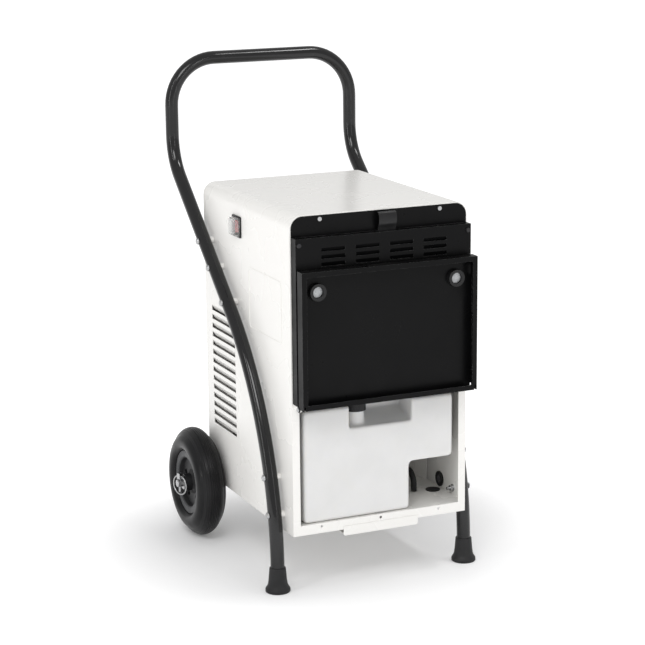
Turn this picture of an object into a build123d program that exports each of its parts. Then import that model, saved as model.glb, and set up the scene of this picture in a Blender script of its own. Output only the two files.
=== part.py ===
from build123d import *
from math import cos, radians, sin, sqrt, tan
import os

# Wheeled building-site dehumidifier with a bent tube frame.
# Millimetres. X runs across the machine, +Y towards its back, +Z up, and the floor is Z = 0.
# "Depth" is the distance behind the front face of the cabinet, so it is negative in front of it.

# ---------------------------------------------------------------- driving dimensions
SHEET = 1.2
CABINET_WIDTH = 340.0
CABINET_DEPTH = 411.0
CABINET_BOTTOM = 109.5
CABINET_TOP = 682.0
CABINET_RADIUS = 23.0
RETURN_WIDTH = 14.0
HALF_WIDTH = CABINET_WIDTH / 2
INNER_HALF = HALF_WIDTH - SHEET

FLOOR_TOP = 127.5
TRAY_SHEET = 1.5

TUBE_RADIUS = 12.5
TUBE_WALL = 1.5
FRAME_HALF = 186.8
LEG_DEPTH = 35.8
UPRIGHT_DEPTH = 527.7
HANDLE_TOP = 901.7
RAKE_ANGLE = 39.8
LOWER_BEND = 568.0
UPPER_BEND = 100.0
CORNER_BEND = 87.5
LEG_CORNER_HEIGHT = 303.2

WHEEL_RADIUS = 104.5
WHEEL_WIDTH = 58.0
WHEEL_X = 202.7
AXLE_DEPTH = 396.6
AXLE_RADIUS = 7.5
AXLE_HALF = 244.0

PLATE_HALF = 168.0
PLATE_TOP = 680.0
PLATE_RADIUS = 21.0
HOUSING_BOTTOM = 352.0
HOUSING_TOP = 645.0
HOUSING_REACH = 20.0

HINGE_DEPTH = -24.0
HINGE_HEIGHT = 348.0
DOOR_NEAR_END = 349.5
DOOR_FAR_END = 591.5
DOOR_BACK = -26.0
DOOR_REACH = 46.0
DOOR_LIP = 9.0

TANK_HALF = 147.0
TANK_FRONT = 4.0
TANK_BACK = 184.0
TANK_BOTTOM = 128.0
TANK_TOP = 334.0
TANK_WALL = 2.5
NOTCH_X = 60.0
NOTCH_TOP = 216.0

RUNNING_GAP = 0.06

# The origin is the middle of the ground that the whole machine covers.
FRONT = -(UPRIGHT_DEPTH + TUBE_RADIUS - DOOR_REACH) / 2


def level(z):
    """Level plane at height z, drawn as (x, depth)."""
    return Plane(origin=(0, FRONT, z), x_dir=(1, 0, 0), z_dir=(0, 0, 1))


def facing(depth):
    """Plane facing forwards at a depth, drawn as (x, z); extruding runs towards the front."""
    return Plane(origin=(0, FRONT + depth, 0), x_dir=(1, 0, 0), z_dir=(0, -1, 0))


def side(x):
    """Plane facing +X, drawn as (depth, z)."""
    return Plane(origin=(x, FRONT, 0), x_dir=(0, 1, 0), z_dir=(1, 0, 0))


def point(x, depth, z):
    """A point in space from its depth behind the cabinet's front."""
    return Vector(x, FRONT + depth, z)


def wrap_profile(inset, bottom):
    """Cross-section of the cabinet's wrap, drawn in by inset: round at its two top corners."""
    top = CABINET_TOP - inset
    with BuildSketch() as profile:
        with Locations((0, (bottom + top) / 2)):
            Rectangle(CABINET_WIDTH - 2 * inset, top - bottom)
        fillet(profile.vertices().group_by(Axis.Y)[-1], CABINET_RADIUS - inset)
    return profile.sketch


def louvre_flap(edge, lean, top, height):
    """Corners of a louvre's flap: it hangs from the slot's top edge and leans in at the bottom."""
    inward = SHEET if lean > 0 else -SHEET
    return [(edge, top), (edge + inward, top), (edge + inward + lean, top - height), (edge + lean, top - height)]


def louvre_web(edge, lean, top, height):
    """Corners of the web that closes a louvre's front end."""
    inward = SHEET if lean > 0 else -SHEET
    return [(edge, top), (edge + inward, top), (edge + inward + lean, top - height), (edge, top - height)]


# ---------------------------------------------------------------- cabinet sheet metal
LOUVRE_ROWS = 14
LOUVRE_PITCH = 17.0
LOUVRE_HEIGHT = 10.5
LOUVRE_LEAN = 6.5
LOUVRE_TOP = 453.5
LOUVRE_BACK = 380.0
LOUVRE_LENGTH = 117.0
SWITCH_DEPTH = 241.0
SWITCH_HEIGHT = 626.0
SWITCH_CUTOUT = 30.0
PAD_DEPTH = 115.0
PAD_HEIGHT = 505.0
PAD_WIDTH = 151.0
PAD_TALL = 112.0
PAD_PROUD = 0.8
AXLE_RELIEF = 9.5
GROMMET_DEPTH = 95.8
GROMMET_HEIGHT = 143.4
GROMMET_HOLE = 11.0
BOLT_RADIUS = 3.0
BOLT_HOLE = 3.2
BOLT_HEIGHTS = [579.0, 537.5, 484.0, 205.0, 140.0]
SIDES = (-1, 1)


def tube_depth(z):
    """Depth of the frame's side tube at height z: one large bend, then a straight rake."""
    bend_start = LEG_CORNER_HEIGHT - LOWER_BEND * tan(radians(90 - RAKE_ANGLE) / 2)
    bend_end = bend_start + LOWER_BEND * sin(radians(90 - RAKE_ANGLE))
    if z < bend_end:
        return LEG_DEPTH + LOWER_BEND - sqrt(LOWER_BEND**2 - (z - bend_start) ** 2)
    return LEG_DEPTH + (z - LEG_CORNER_HEIGHT) / tan(radians(RAKE_ANGLE))


bolt_places = [(tube_depth(z), z) for z in BOLT_HEIGHTS]
louvre_tops = [LOUVRE_TOP - LOUVRE_PITCH * row for row in range(LOUVRE_ROWS)]

with BuildPart() as cabinet_shell:
    with BuildSketch(facing(0)):
        add(wrap_profile(0, CABINET_BOTTOM))
        add(wrap_profile(SHEET, CABINET_BOTTOM - SHEET), mode=Mode.SUBTRACT)
    extrude(amount=-CABINET_DEPTH)
    # Folded returns frame the open front and carry the back panel.
    with BuildSketch(facing(0), facing(CABINET_DEPTH - 2 * SHEET)):
        add(wrap_profile(SHEET / 2, FLOOR_TOP))
        add(wrap_profile(RETURN_WIDTH, FLOOR_TOP - SHEET), mode=Mode.SUBTRACT)
    extrude(amount=-SHEET)
    # Pressed pad on each side.
    with BuildSketch(side(-HALF_WIDTH)):
        with Locations((PAD_DEPTH, PAD_HEIGHT)):
            RectangleRounded(PAD_WIDTH, PAD_TALL, 10)
            RectangleRounded(PAD_WIDTH - 5, PAD_TALL - 5, 8, mode=Mode.SUBTRACT)
    extrude(amount=-PAD_PROUD)
    # Air outlet slots in both sides.
    with BuildSketch(side(-HALF_WIDTH - 1)):
        for top in louvre_tops:
            with Locations((LOUVRE_BACK - LOUVRE_LENGTH / 2, top - LOUVRE_HEIGHT / 2)):
                Rectangle(LOUVRE_LENGTH, LOUVRE_HEIGHT)
    extrude(amount=CABINET_WIDTH + 2, mode=Mode.SUBTRACT)
    with BuildSketch(facing(LOUVRE_BACK)):
        for top in louvre_tops:
            Polygon(*louvre_flap(-HALF_WIDTH, LOUVRE_LEAN, top, LOUVRE_HEIGHT), align=None)
            Polygon(*louvre_flap(HALF_WIDTH, -LOUVRE_LEAN, top, LOUVRE_HEIGHT), align=None)
    extrude(amount=LOUVRE_LENGTH)
    with BuildSketch(facing(LOUVRE_BACK - LOUVRE_LENGTH + SHEET)):
        for top in louvre_tops:
            Polygon(*louvre_web(-HALF_WIDTH, LOUVRE_LEAN, top, LOUVRE_HEIGHT), align=None)
            Polygon(*louvre_web(HALF_WIDTH, -LOUVRE_LEAN, top, LOUVRE_HEIGHT), align=None)
    extrude(amount=SHEET)
    # Cut-outs: switch on the left, hose grommet on the right, frame bolts and axle in both.
    with BuildSketch(side(-HALF_WIDTH - 1)):
        with Locations((SWITCH_DEPTH, SWITCH_HEIGHT)):
            Rectangle(SWITCH_CUTOUT, SWITCH_CUTOUT)
    extrude(amount=SHEET + 2, mode=Mode.SUBTRACT)
    with BuildSketch(side(HALF_WIDTH + 1)):
        with Locations((GROMMET_DEPTH, GROMMET_HEIGHT)):
            Circle(GROMMET_HOLE)
    extrude(amount=-SHEET - 2, mode=Mode.SUBTRACT)
    with BuildSketch(side(-HALF_WIDTH - 1)):
        with Locations(*bolt_places):
            Circle(BOLT_HOLE)
        with Locations((AXLE_DEPTH, WHEEL_RADIUS)):
            Circle(AXLE_RELIEF)
    extrude(amount=CABINET_WIDTH + 2, mode=Mode.SUBTRACT)
cabinet_shell.part.label = "cabinet_shell"

BACK_SCREW_X = 160.0
BACK_SCREW_HEIGHTS = [150.0, 270.0, 390.0, 510.0, 630.0]
SCREW_RADIUS = 2.0
GLAND_X = -112.0
GLAND_HEIGHT = 178.0
GLAND_RADIUS = 8.0
SWAGE_HEIGHT = 420.0
SWAGE_WIDE = 240.0
SWAGE_TALL = 330.0
SWAGE_RADIUS = 18.0
SWAGE_LINE = 4.0
back_screw_places = [(flank * BACK_SCREW_X, z) for flank in SIDES for z in BACK_SCREW_HEIGHTS]

with BuildPart() as back_panel:
    with BuildSketch(facing(CABINET_DEPTH)):
        add(wrap_profile(SHEET + 0.3, CABINET_BOTTOM))
    extrude(amount=SHEET)
    with BuildSketch(facing(CABINET_DEPTH + 1)):
        with Locations(*back_screw_places):
            Circle(SCREW_RADIUS)
        with Locations((GLAND_X, GLAND_HEIGHT)):
            Circle(GLAND_RADIUS)
    extrude(amount=SHEET + 2, mode=Mode.SUBTRACT)
    # A shallow swage stiffens the sheet.
    with BuildSketch(facing(CABINET_DEPTH)):
        with Locations((0, SWAGE_HEIGHT)):
            RectangleRounded(SWAGE_WIDE, SWAGE_TALL, SWAGE_RADIUS)
            RectangleRounded(
                SWAGE_WIDE - 2 * SWAGE_LINE,
                SWAGE_TALL - 2 * SWAGE_LINE,
                SWAGE_RADIUS - SWAGE_LINE,
                mode=Mode.SUBTRACT,
            )
    extrude(amount=-PAD_PROUD)
back_panel.part.label = "back_panel"

SILL_HOLE_X = 115.7
SILL_HOLE_HEIGHT = 121.5
FLOOR_HOLE = (148.0, 85.0)
FLOOR_HOLE_RADIUS = 11.5
TRAY_DEPTH = CABINET_DEPTH - SHEET

with BuildPart() as base_tray:
    with BuildSketch(level(CABINET_BOTTOM)):
        with Locations((0, TRAY_DEPTH / 2)):
            Rectangle(2 * INNER_HALF, TRAY_DEPTH)
    extrude(amount=FLOOR_TOP - CABINET_BOTTOM)
    with BuildSketch(level(CABINET_BOTTOM)):
        with Locations((0, TRAY_DEPTH / 2)):
            Rectangle(2 * (INNER_HALF - TRAY_SHEET), TRAY_DEPTH - 2 * TRAY_SHEET)
    extrude(amount=FLOOR_TOP - CABINET_BOTTOM - TRAY_SHEET, mode=Mode.SUBTRACT)
    with BuildSketch(facing(-1)):
        with Locations(*[(x, SILL_HOLE_HEIGHT) for x in (-SILL_HOLE_X, 0, SILL_HOLE_X)]):
            Circle(2.4)
    extrude(amount=-TRAY_SHEET - 2, mode=Mode.SUBTRACT)
    with BuildSketch(level(FLOOR_TOP + 1)):
        with Locations(*[(x, 7.5) for x in (-SILL_HOLE_X, 0, SILL_HOLE_X)]):
            SlotOverall(18, 4)
        with Locations(FLOOR_HOLE):
            Circle(FLOOR_HOLE_RADIUS)
    extrude(amount=-TRAY_SHEET - 2, mode=Mode.SUBTRACT)
    with BuildSketch(side(-HALF_WIDTH)):
        with Locations((AXLE_DEPTH, WHEEL_RADIUS)):
            Circle(AXLE_RELIEF)
    extrude(amount=CABINET_WIDTH, mode=Mode.SUBTRACT)
base_tray.part.label = "base_tray"

CHANNEL_HALF = 73.5
CHANNEL_BOTTOM = 98.0
CHANNEL_LIP = 115.3
CHANNEL_DEPTH = 62.0

with BuildPart() as under_channel:
    with BuildSketch(facing(0)) as channel_face:
        with Locations((0, (CHANNEL_BOTTOM + CHANNEL_LIP) / 2)):
            Rectangle(2 * CHANNEL_HALF, CHANNEL_LIP - CHANNEL_BOTTOM)
        fillet(channel_face.vertices().group_by(Axis.Y)[0], 3.5)
    extrude(amount=SHEET)
    with BuildSketch(level(CHANNEL_BOTTOM)):
        with Locations((0, CHANNEL_DEPTH / 2)):
            Rectangle(2 * (CHANNEL_HALF - 3.5), CHANNEL_DEPTH)
    extrude(amount=SHEET)
    with BuildSketch(facing(CHANNEL_DEPTH)):
        with Locations((0, (CHANNEL_BOTTOM + FLOOR_TOP - TRAY_SHEET) / 2)):
            Rectangle(2 * (CHANNEL_HALF - 3.5), FLOOR_TOP - TRAY_SHEET - CHANNEL_BOTTOM)
    extrude(amount=SHEET)
under_channel.part.label = "under_channel"

# ---------------------------------------------------------------- air inlet
PLATE_SCREW_X = 115.0
PLATE_SCREW_HEIGHT = 673.6
HOUSING_SCREW_X = 162.0
HOUSING_SCREW_HEIGHTS = [634.0, 362.0]
SLOT_FRONT = -14.0
SLOT_BACK = -6.0
SLOT_HALF = 163.0
INLET_WIDTH = 45.0
INLET_CENTRES = [-97.5, -32.5, 32.5, 97.5]
INLET_ROWS = 20
INLET_PITCH = 12.7
INLET_TOP = 626.5
INLET_HEIGHT = 6.5
INLET_LEAN = 3.4
plate_screw_places = [(flank * PLATE_SCREW_X, PLATE_SCREW_HEIGHT) for flank in SIDES]
housing_screw_places = [(flank * HOUSING_SCREW_X, z) for flank in SIDES for z in HOUSING_SCREW_HEIGHTS]
inlet_tops = [INLET_TOP - INLET_PITCH * row for row in range(INLET_ROWS)]
AIR_WAY_WIDTH = 296.0
AIR_WAY_BORDER = 18.0
AIR_WAY_RADIUS = 6.0

with BuildPart() as front_plate:
    with BuildSketch(facing(0)) as plate_face:
        with Locations((0, (HOUSING_BOTTOM + PLATE_TOP) / 2)):
            Rectangle(2 * PLATE_HALF, PLATE_TOP - HOUSING_BOTTOM)
        fillet(plate_face.vertices().group_by(Axis.Y)[-1], PLATE_RADIUS)
        with Locations((0, (HOUSING_BOTTOM + HOUSING_TOP) / 2)):
            RectangleRounded(
                AIR_WAY_WIDTH,
                HOUSING_TOP - HOUSING_BOTTOM - 2 * AIR_WAY_BORDER,
                AIR_WAY_RADIUS,
                mode=Mode.SUBTRACT,
            )
        with Locations(*plate_screw_places):
            Circle(SCREW_RADIUS, mode=Mode.SUBTRACT)
    extrude(amount=SHEET)
front_plate.part.label = "front_plate"

HOUSING_HEIGHT = HOUSING_TOP - HOUSING_BOTTOM
HOUSING_BOX_DEPTH = HOUSING_REACH - SHEET

with BuildPart() as inlet_housing:
    with BuildSketch(facing(-SHEET)):
        with Locations((0, (HOUSING_BOTTOM + HOUSING_TOP) / 2)):
            Rectangle(2 * PLATE_HALF, HOUSING_HEIGHT)
    extrude(amount=HOUSING_BOX_DEPTH)
    with BuildSketch(facing(-SHEET)):
        with Locations((0, (HOUSING_BOTTOM + HOUSING_TOP) / 2)):
            Rectangle(2 * (PLATE_HALF - SHEET), HOUSING_HEIGHT - 2 * SHEET)
    extrude(amount=HOUSING_BOX_DEPTH - SHEET, mode=Mode.SUBTRACT)
    # The filter drops in through a slot along the top.
    with BuildSketch(level(HOUSING_TOP + 1)):
        with Locations((0, (SLOT_FRONT + SLOT_BACK) / 2)):
            Rectangle(2 * SLOT_HALF, SLOT_BACK - SLOT_FRONT)
    extrude(amount=-SHEET - 2, mode=Mode.SUBTRACT)
    # Four columns of inlet louvres.
    with BuildSketch(facing(-HOUSING_REACH - 1)):
        with Locations(*[(x, top - INLET_HEIGHT / 2) for x in INLET_CENTRES for top in inlet_tops]):
            Rectangle(INLET_WIDTH, INLET_HEIGHT)
        with Locations(*housing_screw_places):
            Circle(SCREW_RADIUS)
    extrude(amount=-SHEET - 2, mode=Mode.SUBTRACT)
    with BuildSketch(*[side(x - INLET_WIDTH / 2) for x in INLET_CENTRES]):
        for top in inlet_tops:
            Polygon(*louvre_flap(-HOUSING_REACH, INLET_LEAN, top, INLET_HEIGHT), align=None)
    extrude(amount=INLET_WIDTH)
inlet_housing.part.label = "inlet_housing"

FILTER_HALF = 160.0
FILTER_BOTTOM = 356.0
FILTER_TOP = 642.0
FILTER_THICK = 6.0
FILTER_DEPTH = -10.0
FILTER_BORDER = 9.0
FILTER_MESH = 0.8
FILTER_BAR = 4.0
MESH_TUCK = 3.0
filter_middle = (FILTER_BOTTOM + FILTER_TOP) / 2
filter_height = FILTER_TOP - FILTER_BOTTOM
window_width = 2 * (FILTER_HALF - FILTER_BORDER)
window_height = filter_height - 2 * FILTER_BORDER

with BuildPart() as filter_frame:
    with BuildSketch(facing(FILTER_DEPTH + FILTER_THICK / 2)):
        with Locations((0, filter_middle)):
            Rectangle(2 * FILTER_HALF, filter_height)
            Rectangle(window_width, window_height, mode=Mode.SUBTRACT)
            with GridLocations(window_width / 3, 0, 2, 1):
                Rectangle(FILTER_BAR, window_height)
            with GridLocations(0, window_height / 3, 1, 2):
                Rectangle(window_width, FILTER_BAR)
    extrude(amount=FILTER_THICK)
    # Groove that holds the mesh.
    with BuildSketch(facing(FILTER_DEPTH + FILTER_MESH / 2)):
        with Locations((0, filter_middle)):
            Rectangle(window_width + 2 * MESH_TUCK, window_height + 2 * MESH_TUCK)
    extrude(amount=FILTER_MESH, mode=Mode.SUBTRACT)
filter_frame.part.label = "filter_frame"

with BuildPart() as filter_mesh:
    with BuildSketch(facing(FILTER_DEPTH + FILTER_MESH / 2)):
        with Locations((0, filter_middle)):
            Rectangle(window_width + 2 * MESH_TUCK, window_height + 2 * MESH_TUCK)
    extrude(amount=FILTER_MESH)
filter_mesh.part.label = "filter_mesh"

TAB_CENTRE = 8.7
TAB_WIDTH = 33.8
TAB_THICK = 1.4

with BuildPart() as filter_tab:
    with BuildSketch(side(TAB_CENTRE - TAB_WIDTH / 2)):
        with BuildLine() as tab_line:
            Line((FILTER_DEPTH, FILTER_TOP), (FILTER_DEPTH, FILTER_TOP + 4))
            Spline(
                (FILTER_DEPTH, FILTER_TOP + 4),
                (FILTER_DEPTH - 4.5, FILTER_TOP + 18),
                (FILTER_DEPTH - 3, FILTER_TOP + 32),
                (FILTER_DEPTH + 2, FILTER_TOP + 35.5),
                tangents=((0, 1), (1, 0)),
            )
        trace(line_width=TAB_THICK)
    extrude(amount=TAB_WIDTH)
filter_tab.part.label = "filter_tab"

# ---------------------------------------------------------------- tube frame
SPACER_RADIUS = 7.0
HEAD_RADIUS = 6.2
HEAD_HEIGHT = 3.8
NUT_ACROSS = 10.0
NUT_THICK = 5.0
WASHER_THICK = 1.4
FOOT_RADIUS = 22.4
TUBE_END = 6.0

upright_corner = LEG_CORNER_HEIGHT + (UPRIGHT_DEPTH - LEG_DEPTH) * tan(radians(RAKE_ANGLE))
half_route = [
    (FRAME_HALF, LEG_DEPTH, TUBE_END),
    (FRAME_HALF, LEG_DEPTH, LEG_CORNER_HEIGHT),
    (FRAME_HALF, UPRIGHT_DEPTH, upright_corner),
    (FRAME_HALF, UPRIGHT_DEPTH, HANDLE_TOP),
]
frame_route = [point(-x, depth, z) for x, depth, z in half_route]
frame_route += [point(x, depth, z) for x, depth, z in reversed(half_route)]
frame_bends = [LOWER_BEND, UPPER_BEND, CORNER_BEND, CORNER_BEND, UPPER_BEND, LOWER_BEND]

with BuildPart() as tube_core:
    with BuildLine():
        FilletPolyline(*frame_route, radius=frame_bends)
    with BuildSketch(Plane(origin=frame_route[0], z_dir=(0, 0, 1))):
        Circle(TUBE_RADIUS)
    sweep()

with BuildPart() as handle_frame:
    with BuildLine():
        FilletPolyline(*frame_route, radius=frame_bends)
    with BuildSketch(Plane(origin=frame_route[0], z_dir=(0, 0, 1))):
        Circle(TUBE_RADIUS)
        Circle(TUBE_RADIUS - TUBE_WALL, mode=Mode.SUBTRACT)
    sweep()
    with BuildSketch(side(-FRAME_HALF - TUBE_RADIUS - 1)):
        with Locations(*bolt_places):
            Circle(BOLT_HOLE)
    extrude(amount=2 * (FRAME_HALF + TUBE_RADIUS + 1), mode=Mode.SUBTRACT)
handle_frame.part.label = "handle_frame"

with BuildPart() as rubber_feet:
    for flank in SIDES:
        foot_plane = Plane(origin=point(flank * FRAME_HALF, LEG_DEPTH, 0), x_dir=(1, 0, 0), z_dir=(0, -1, 0))
        with BuildSketch(foot_plane):
            with BuildLine():
                Polyline((0, 0), (FOOT_RADIUS - 1, 0), (FOOT_RADIUS, 1), (FOOT_RADIUS, 5))
                Spline((FOOT_RADIUS, 5), (19.5, 10), (16.6, 22), tangents=((-0.3, 1), (-0.1, 1)))
                Polyline((16.6, 22), (14.8, 43.5), (14.0, 45), (0, 45), (0, 0))
            make_face()
        revolve(axis=Axis(foot_plane.origin, (0, 0, 1)))
    add(tube_core.part, mode=Mode.SUBTRACT)
rubber_feet.part.label = "rubber_feet"

with BuildPart() as frame_spacers:
    for flank in SIDES:
        with BuildSketch(side(flank * HALF_WIDTH)):
            with Locations(*bolt_places):
                Circle(SPACER_RADIUS)
                Circle(BOLT_HOLE, mode=Mode.SUBTRACT)
        extrude(amount=flank * (FRAME_HALF - HALF_WIDTH))
    add(tube_core.part, mode=Mode.SUBTRACT)
frame_spacers.part.label = "frame_spacers"

BOLT_END = 156.5

with BuildPart() as frame_bolts:
    for flank in SIDES:
        with BuildSketch(side(flank * (FRAME_HALF + TUBE_RADIUS))):
            with Locations(*bolt_places):
                Circle(BOLT_RADIUS)
        extrude(amount=-flank * (FRAME_HALF + TUBE_RADIUS - BOLT_END))
        with BuildSketch(side(flank * (FRAME_HALF + TUBE_RADIUS))):
            with Locations(*bolt_places):
                Circle(HEAD_RADIUS)
        extrude(amount=flank * HEAD_HEIGHT)
    outer_rims = frame_bolts.edges().filter_by(GeomType.CIRCLE).group_by(Axis.X)
    fillet(outer_rims[0] + outer_rims[-1], HEAD_HEIGHT - 0.6)
frame_bolts.part.label = "frame_bolts"

with BuildPart() as nuts:
    for flank in SIDES:
        with BuildSketch(side(flank * (INNER_HALF - WASHER_THICK))):
            with Locations(*bolt_places):
                RegularPolygon(NUT_ACROSS / 2, 6, major_radius=False)
                Circle(BOLT_RADIUS, mode=Mode.SUBTRACT)
        extrude(amount=-flank * NUT_THICK)

with BuildPart() as washers:
    for flank in SIDES:
        with BuildSketch(side(flank * INNER_HALF)):
            with Locations(*bolt_places):
                Circle(SPACER_RADIUS)
                Circle(BOLT_HOLE, mode=Mode.SUBTRACT)
        extrude(amount=-flank * WASHER_THICK)

# ---------------------------------------------------------------- axle and wheels
HUB_HALF = 26.5
BUSH_RADIUS = 10.0
HUB_RADIUS = 16.0
RIM_RADIUS = 62.0
BRACKET_X = 150.0
LINCH_X = 237.5
LINCH_RADIUS = 2.5
LINCH_YAW = 20.0
RING_RADIUS = 18.5
RING_WIRE = 1.5
RING_AXIS_HEIGHT = 119.0
BRACKET_BOTTOM = 92.0
BRACKET_LENGTH = 38.0
BRACKET_SHIFT = 8.0
BRACKET_THICK = 4.0
AXLE_WASHER_RADIUS = 13.0
axle_line = Axis(point(0, AXLE_DEPTH, WHEEL_RADIUS), (1, 0, 0))

with BuildPart() as axle:
    with BuildSketch(side(-AXLE_HALF)):
        with Locations((AXLE_DEPTH, WHEEL_RADIUS)):
            Circle(AXLE_RADIUS)
    extrude(amount=2 * AXLE_HALF)
    chamfer(axle.edges().filter_by(GeomType.CIRCLE), 1.2)
    with BuildSketch(level(WHEEL_RADIUS - 2 * AXLE_RADIUS)):
        with Locations((-LINCH_X, AXLE_DEPTH), (LINCH_X, AXLE_DEPTH)):
            Circle(LINCH_RADIUS)
    extrude(amount=4 * AXLE_RADIUS, mode=Mode.SUBTRACT)
axle.part.label = "axle"

with BuildPart() as axle_brackets:
    for flank in SIDES:
        with BuildSketch(side(flank * BRACKET_X)):
            with Locations((AXLE_DEPTH - BRACKET_SHIFT, (BRACKET_BOTTOM + FLOOR_TOP - TRAY_SHEET) / 2)):
                RectangleRounded(BRACKET_LENGTH, FLOOR_TOP - TRAY_SHEET - BRACKET_BOTTOM, 3)
            with Locations((AXLE_DEPTH, WHEEL_RADIUS)):
                Circle(AXLE_RADIUS, mode=Mode.SUBTRACT)
        extrude(amount=-flank * BRACKET_THICK)
        with BuildSketch(level(FLOOR_TOP - TRAY_SHEET)):
            with Locations((flank * (BRACKET_X - 14), AXLE_DEPTH - BRACKET_SHIFT)):
                Rectangle(28, 30)
        extrude(amount=-3)
axle_brackets.part.label = "axle_brackets"

with BuildPart() as axle_washers:
    for flank in SIDES:
        for start, thick in ((HALF_WIDTH + 0.3, 5.0), (WHEEL_X + HUB_HALF + 0.6, 2.0)):
            with BuildSketch(side(flank * start)):
                with Locations((AXLE_DEPTH, WHEEL_RADIUS)):
                    Circle(AXLE_WASHER_RADIUS)
                    Circle(AXLE_RADIUS, mode=Mode.SUBTRACT)
            extrude(amount=flank * thick)
axle_washers.part.label = "axle_washers"


def wheel_section(flank):
    """Half section of a wheel: x runs outwards from the wheel's middle and y is the radius."""
    origin = point(flank * WHEEL_X, AXLE_DEPTH, WHEEL_RADIUS)
    return Plane(origin=origin, x_dir=(flank, 0, 0), z_dir=(0, -flank, 0))


TYRE_GROOVES = [-8.0, -4.0, 0.0, 4.0, 8.0]
GROOVE_WIDTH = 0.8
GROOVE_DEPTH = 0.8
CROWN_HALF = 20.0
CROWN_EDGE = 92.0
BULGE_RADIUS = 77.0
BEAD_HALF = 21.5
BEAD_RADIUS = 62.4


def make_tyre(flank):
    """Foam-filled tyre with fine grooves running round its crown."""
    half = WHEEL_WIDTH / 2
    with BuildPart() as tyre:
        with BuildSketch(wheel_section(flank)):
            with BuildLine():
                ThreePointArc((-CROWN_HALF, CROWN_EDGE), (0, WHEEL_RADIUS), (CROWN_HALF, CROWN_EDGE))
                Spline(
                    (CROWN_HALF, CROWN_EDGE),
                    (half, BULGE_RADIUS),
                    (BEAD_HALF, BEAD_RADIUS),
                    tangents=((1, -0.8), (-1, -0.5)),
                )
                Line((BEAD_HALF, BEAD_RADIUS), (-BEAD_HALF, BEAD_RADIUS))
                Spline(
                    (-BEAD_HALF, BEAD_RADIUS),
                    (-half, BULGE_RADIUS),
                    (-CROWN_HALF, CROWN_EDGE),
                    tangents=((-1, 0.5), (1, 0.8)),
                )
            make_face()
        revolve(axis=axle_line)
        with BuildSketch(wheel_section(flank)):
            for x in TYRE_GROOVES:
                crown = WHEEL_RADIUS - (WHEEL_RADIUS - CROWN_EDGE) * (x / CROWN_HALF) ** 2
                with Locations((x, crown)):
                    Rectangle(GROOVE_WIDTH, 2 * GROOVE_DEPTH)
        revolve(axis=axle_line, mode=Mode.SUBTRACT)
    return tyre.part


POCKET_COUNT = 5
POCKET_CIRCLE = 34.5
POCKET_RADIUS = 6.0


def make_rim(flank):
    """Moulded rim: barrel, dished web with five pockets, and a long hub."""
    with BuildPart() as rim:
        with BuildSketch(wheel_section(flank)):
            with BuildLine():
                Polyline(
                    (-21, RIM_RADIUS),
                    (19.5, RIM_RADIUS),
                    (21, RIM_RADIUS - 1.5),
                    (21, 50),
                    (18.5, 47.5),
                    (11, 45),
                    (9, 24),
                    (14, HUB_RADIUS + 1),
                    (HUB_HALF, HUB_RADIUS),
                    (HUB_HALF, BUSH_RADIUS),
                    (-HUB_HALF, BUSH_RADIUS),
                    (-HUB_HALF, HUB_RADIUS),
                    (0, HUB_RADIUS + 1),
                    (4, 24),
                    (5, 54),
                    (-21, 57),
                    close=True,
                )
            make_face()
        revolve(axis=axle_line)
        with BuildSketch(side(flank * (WHEEL_X - 10))):
            with Locations((AXLE_DEPTH, WHEEL_RADIUS)):
                with PolarLocations(POCKET_CIRCLE, POCKET_COUNT, start_angle=18):
                    Circle(POCKET_RADIUS)
        extrude(amount=flank * 40, mode=Mode.SUBTRACT)
    return rim.part


def make_bush(flank):
    """Plain bearing bush pressed into the hub."""
    with BuildPart() as bush:
        with BuildSketch(side(flank * (WHEEL_X - HUB_HALF))):
            with Locations((AXLE_DEPTH, WHEEL_RADIUS)):
                Circle(BUSH_RADIUS)
                Circle(AXLE_RADIUS + RUNNING_GAP, mode=Mode.SUBTRACT)
        extrude(amount=flank * 2 * HUB_HALF)
    return bush.part


def pin_plane(flank):
    """Plane of a linch pin's ring, drawn as (across, up) from the ring's hinge."""
    yaw = radians(LINCH_YAW)
    origin = point(flank * LINCH_X, AXLE_DEPTH, RING_AXIS_HEIGHT)
    return Plane(origin=origin, x_dir=(sin(yaw), flank * cos(yaw), 0), z_dir=(flank * cos(yaw), -sin(yaw), 0))


def make_ring(flank):
    """Wire ring that hangs round the axle's end from the head of the linch pin."""
    plane = pin_plane(flank)
    centre = plane.from_local_coords((0, -RING_RADIUS, 0))
    with BuildPart() as ring:
        with BuildSketch(Plane(origin=plane.origin, x_dir=plane.z_dir, z_dir=plane.x_dir)):
            Circle(RING_WIRE)
        revolve(axis=Axis(centre, plane.z_dir))
    return ring.part


with BuildPart() as linch_pins:
    for flank in SIDES:
        with BuildSketch(level(WHEEL_RADIUS - 17)):
            with Locations((flank * LINCH_X, AXLE_DEPTH)):
                Circle(LINCH_RADIUS)
        extrude(amount=RING_AXIS_HEIGHT - WHEEL_RADIUS + 13)
        head = pin_plane(flank)
        with BuildSketch(head):
            with Locations((0, -0.3)):
                RectangleRounded(8, 11.4, 2)
        extrude(amount=4.2, both=True)
        with BuildSketch(Plane(origin=head.origin, x_dir=head.z_dir, z_dir=head.x_dir)):
            Circle(2.3)
        extrude(amount=6, both=True, mode=Mode.SUBTRACT)
linch_pins.part.label = "linch_pins"

wheel_parts = []
for flank, name in ((-1, "left"), (1, "right")):
    for piece, kind in ((make_tyre(flank), "tyre"), (make_rim(flank), "rim")):
        piece.label = f"{kind}_{name}"
        wheel_parts.append(piece)
    for piece, kind in ((make_bush(flank), "wheel_bush"), (make_ring(flank), "linch_ring")):
        piece.label = f"{kind}_{name}"
        wheel_parts.append(piece)

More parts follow.
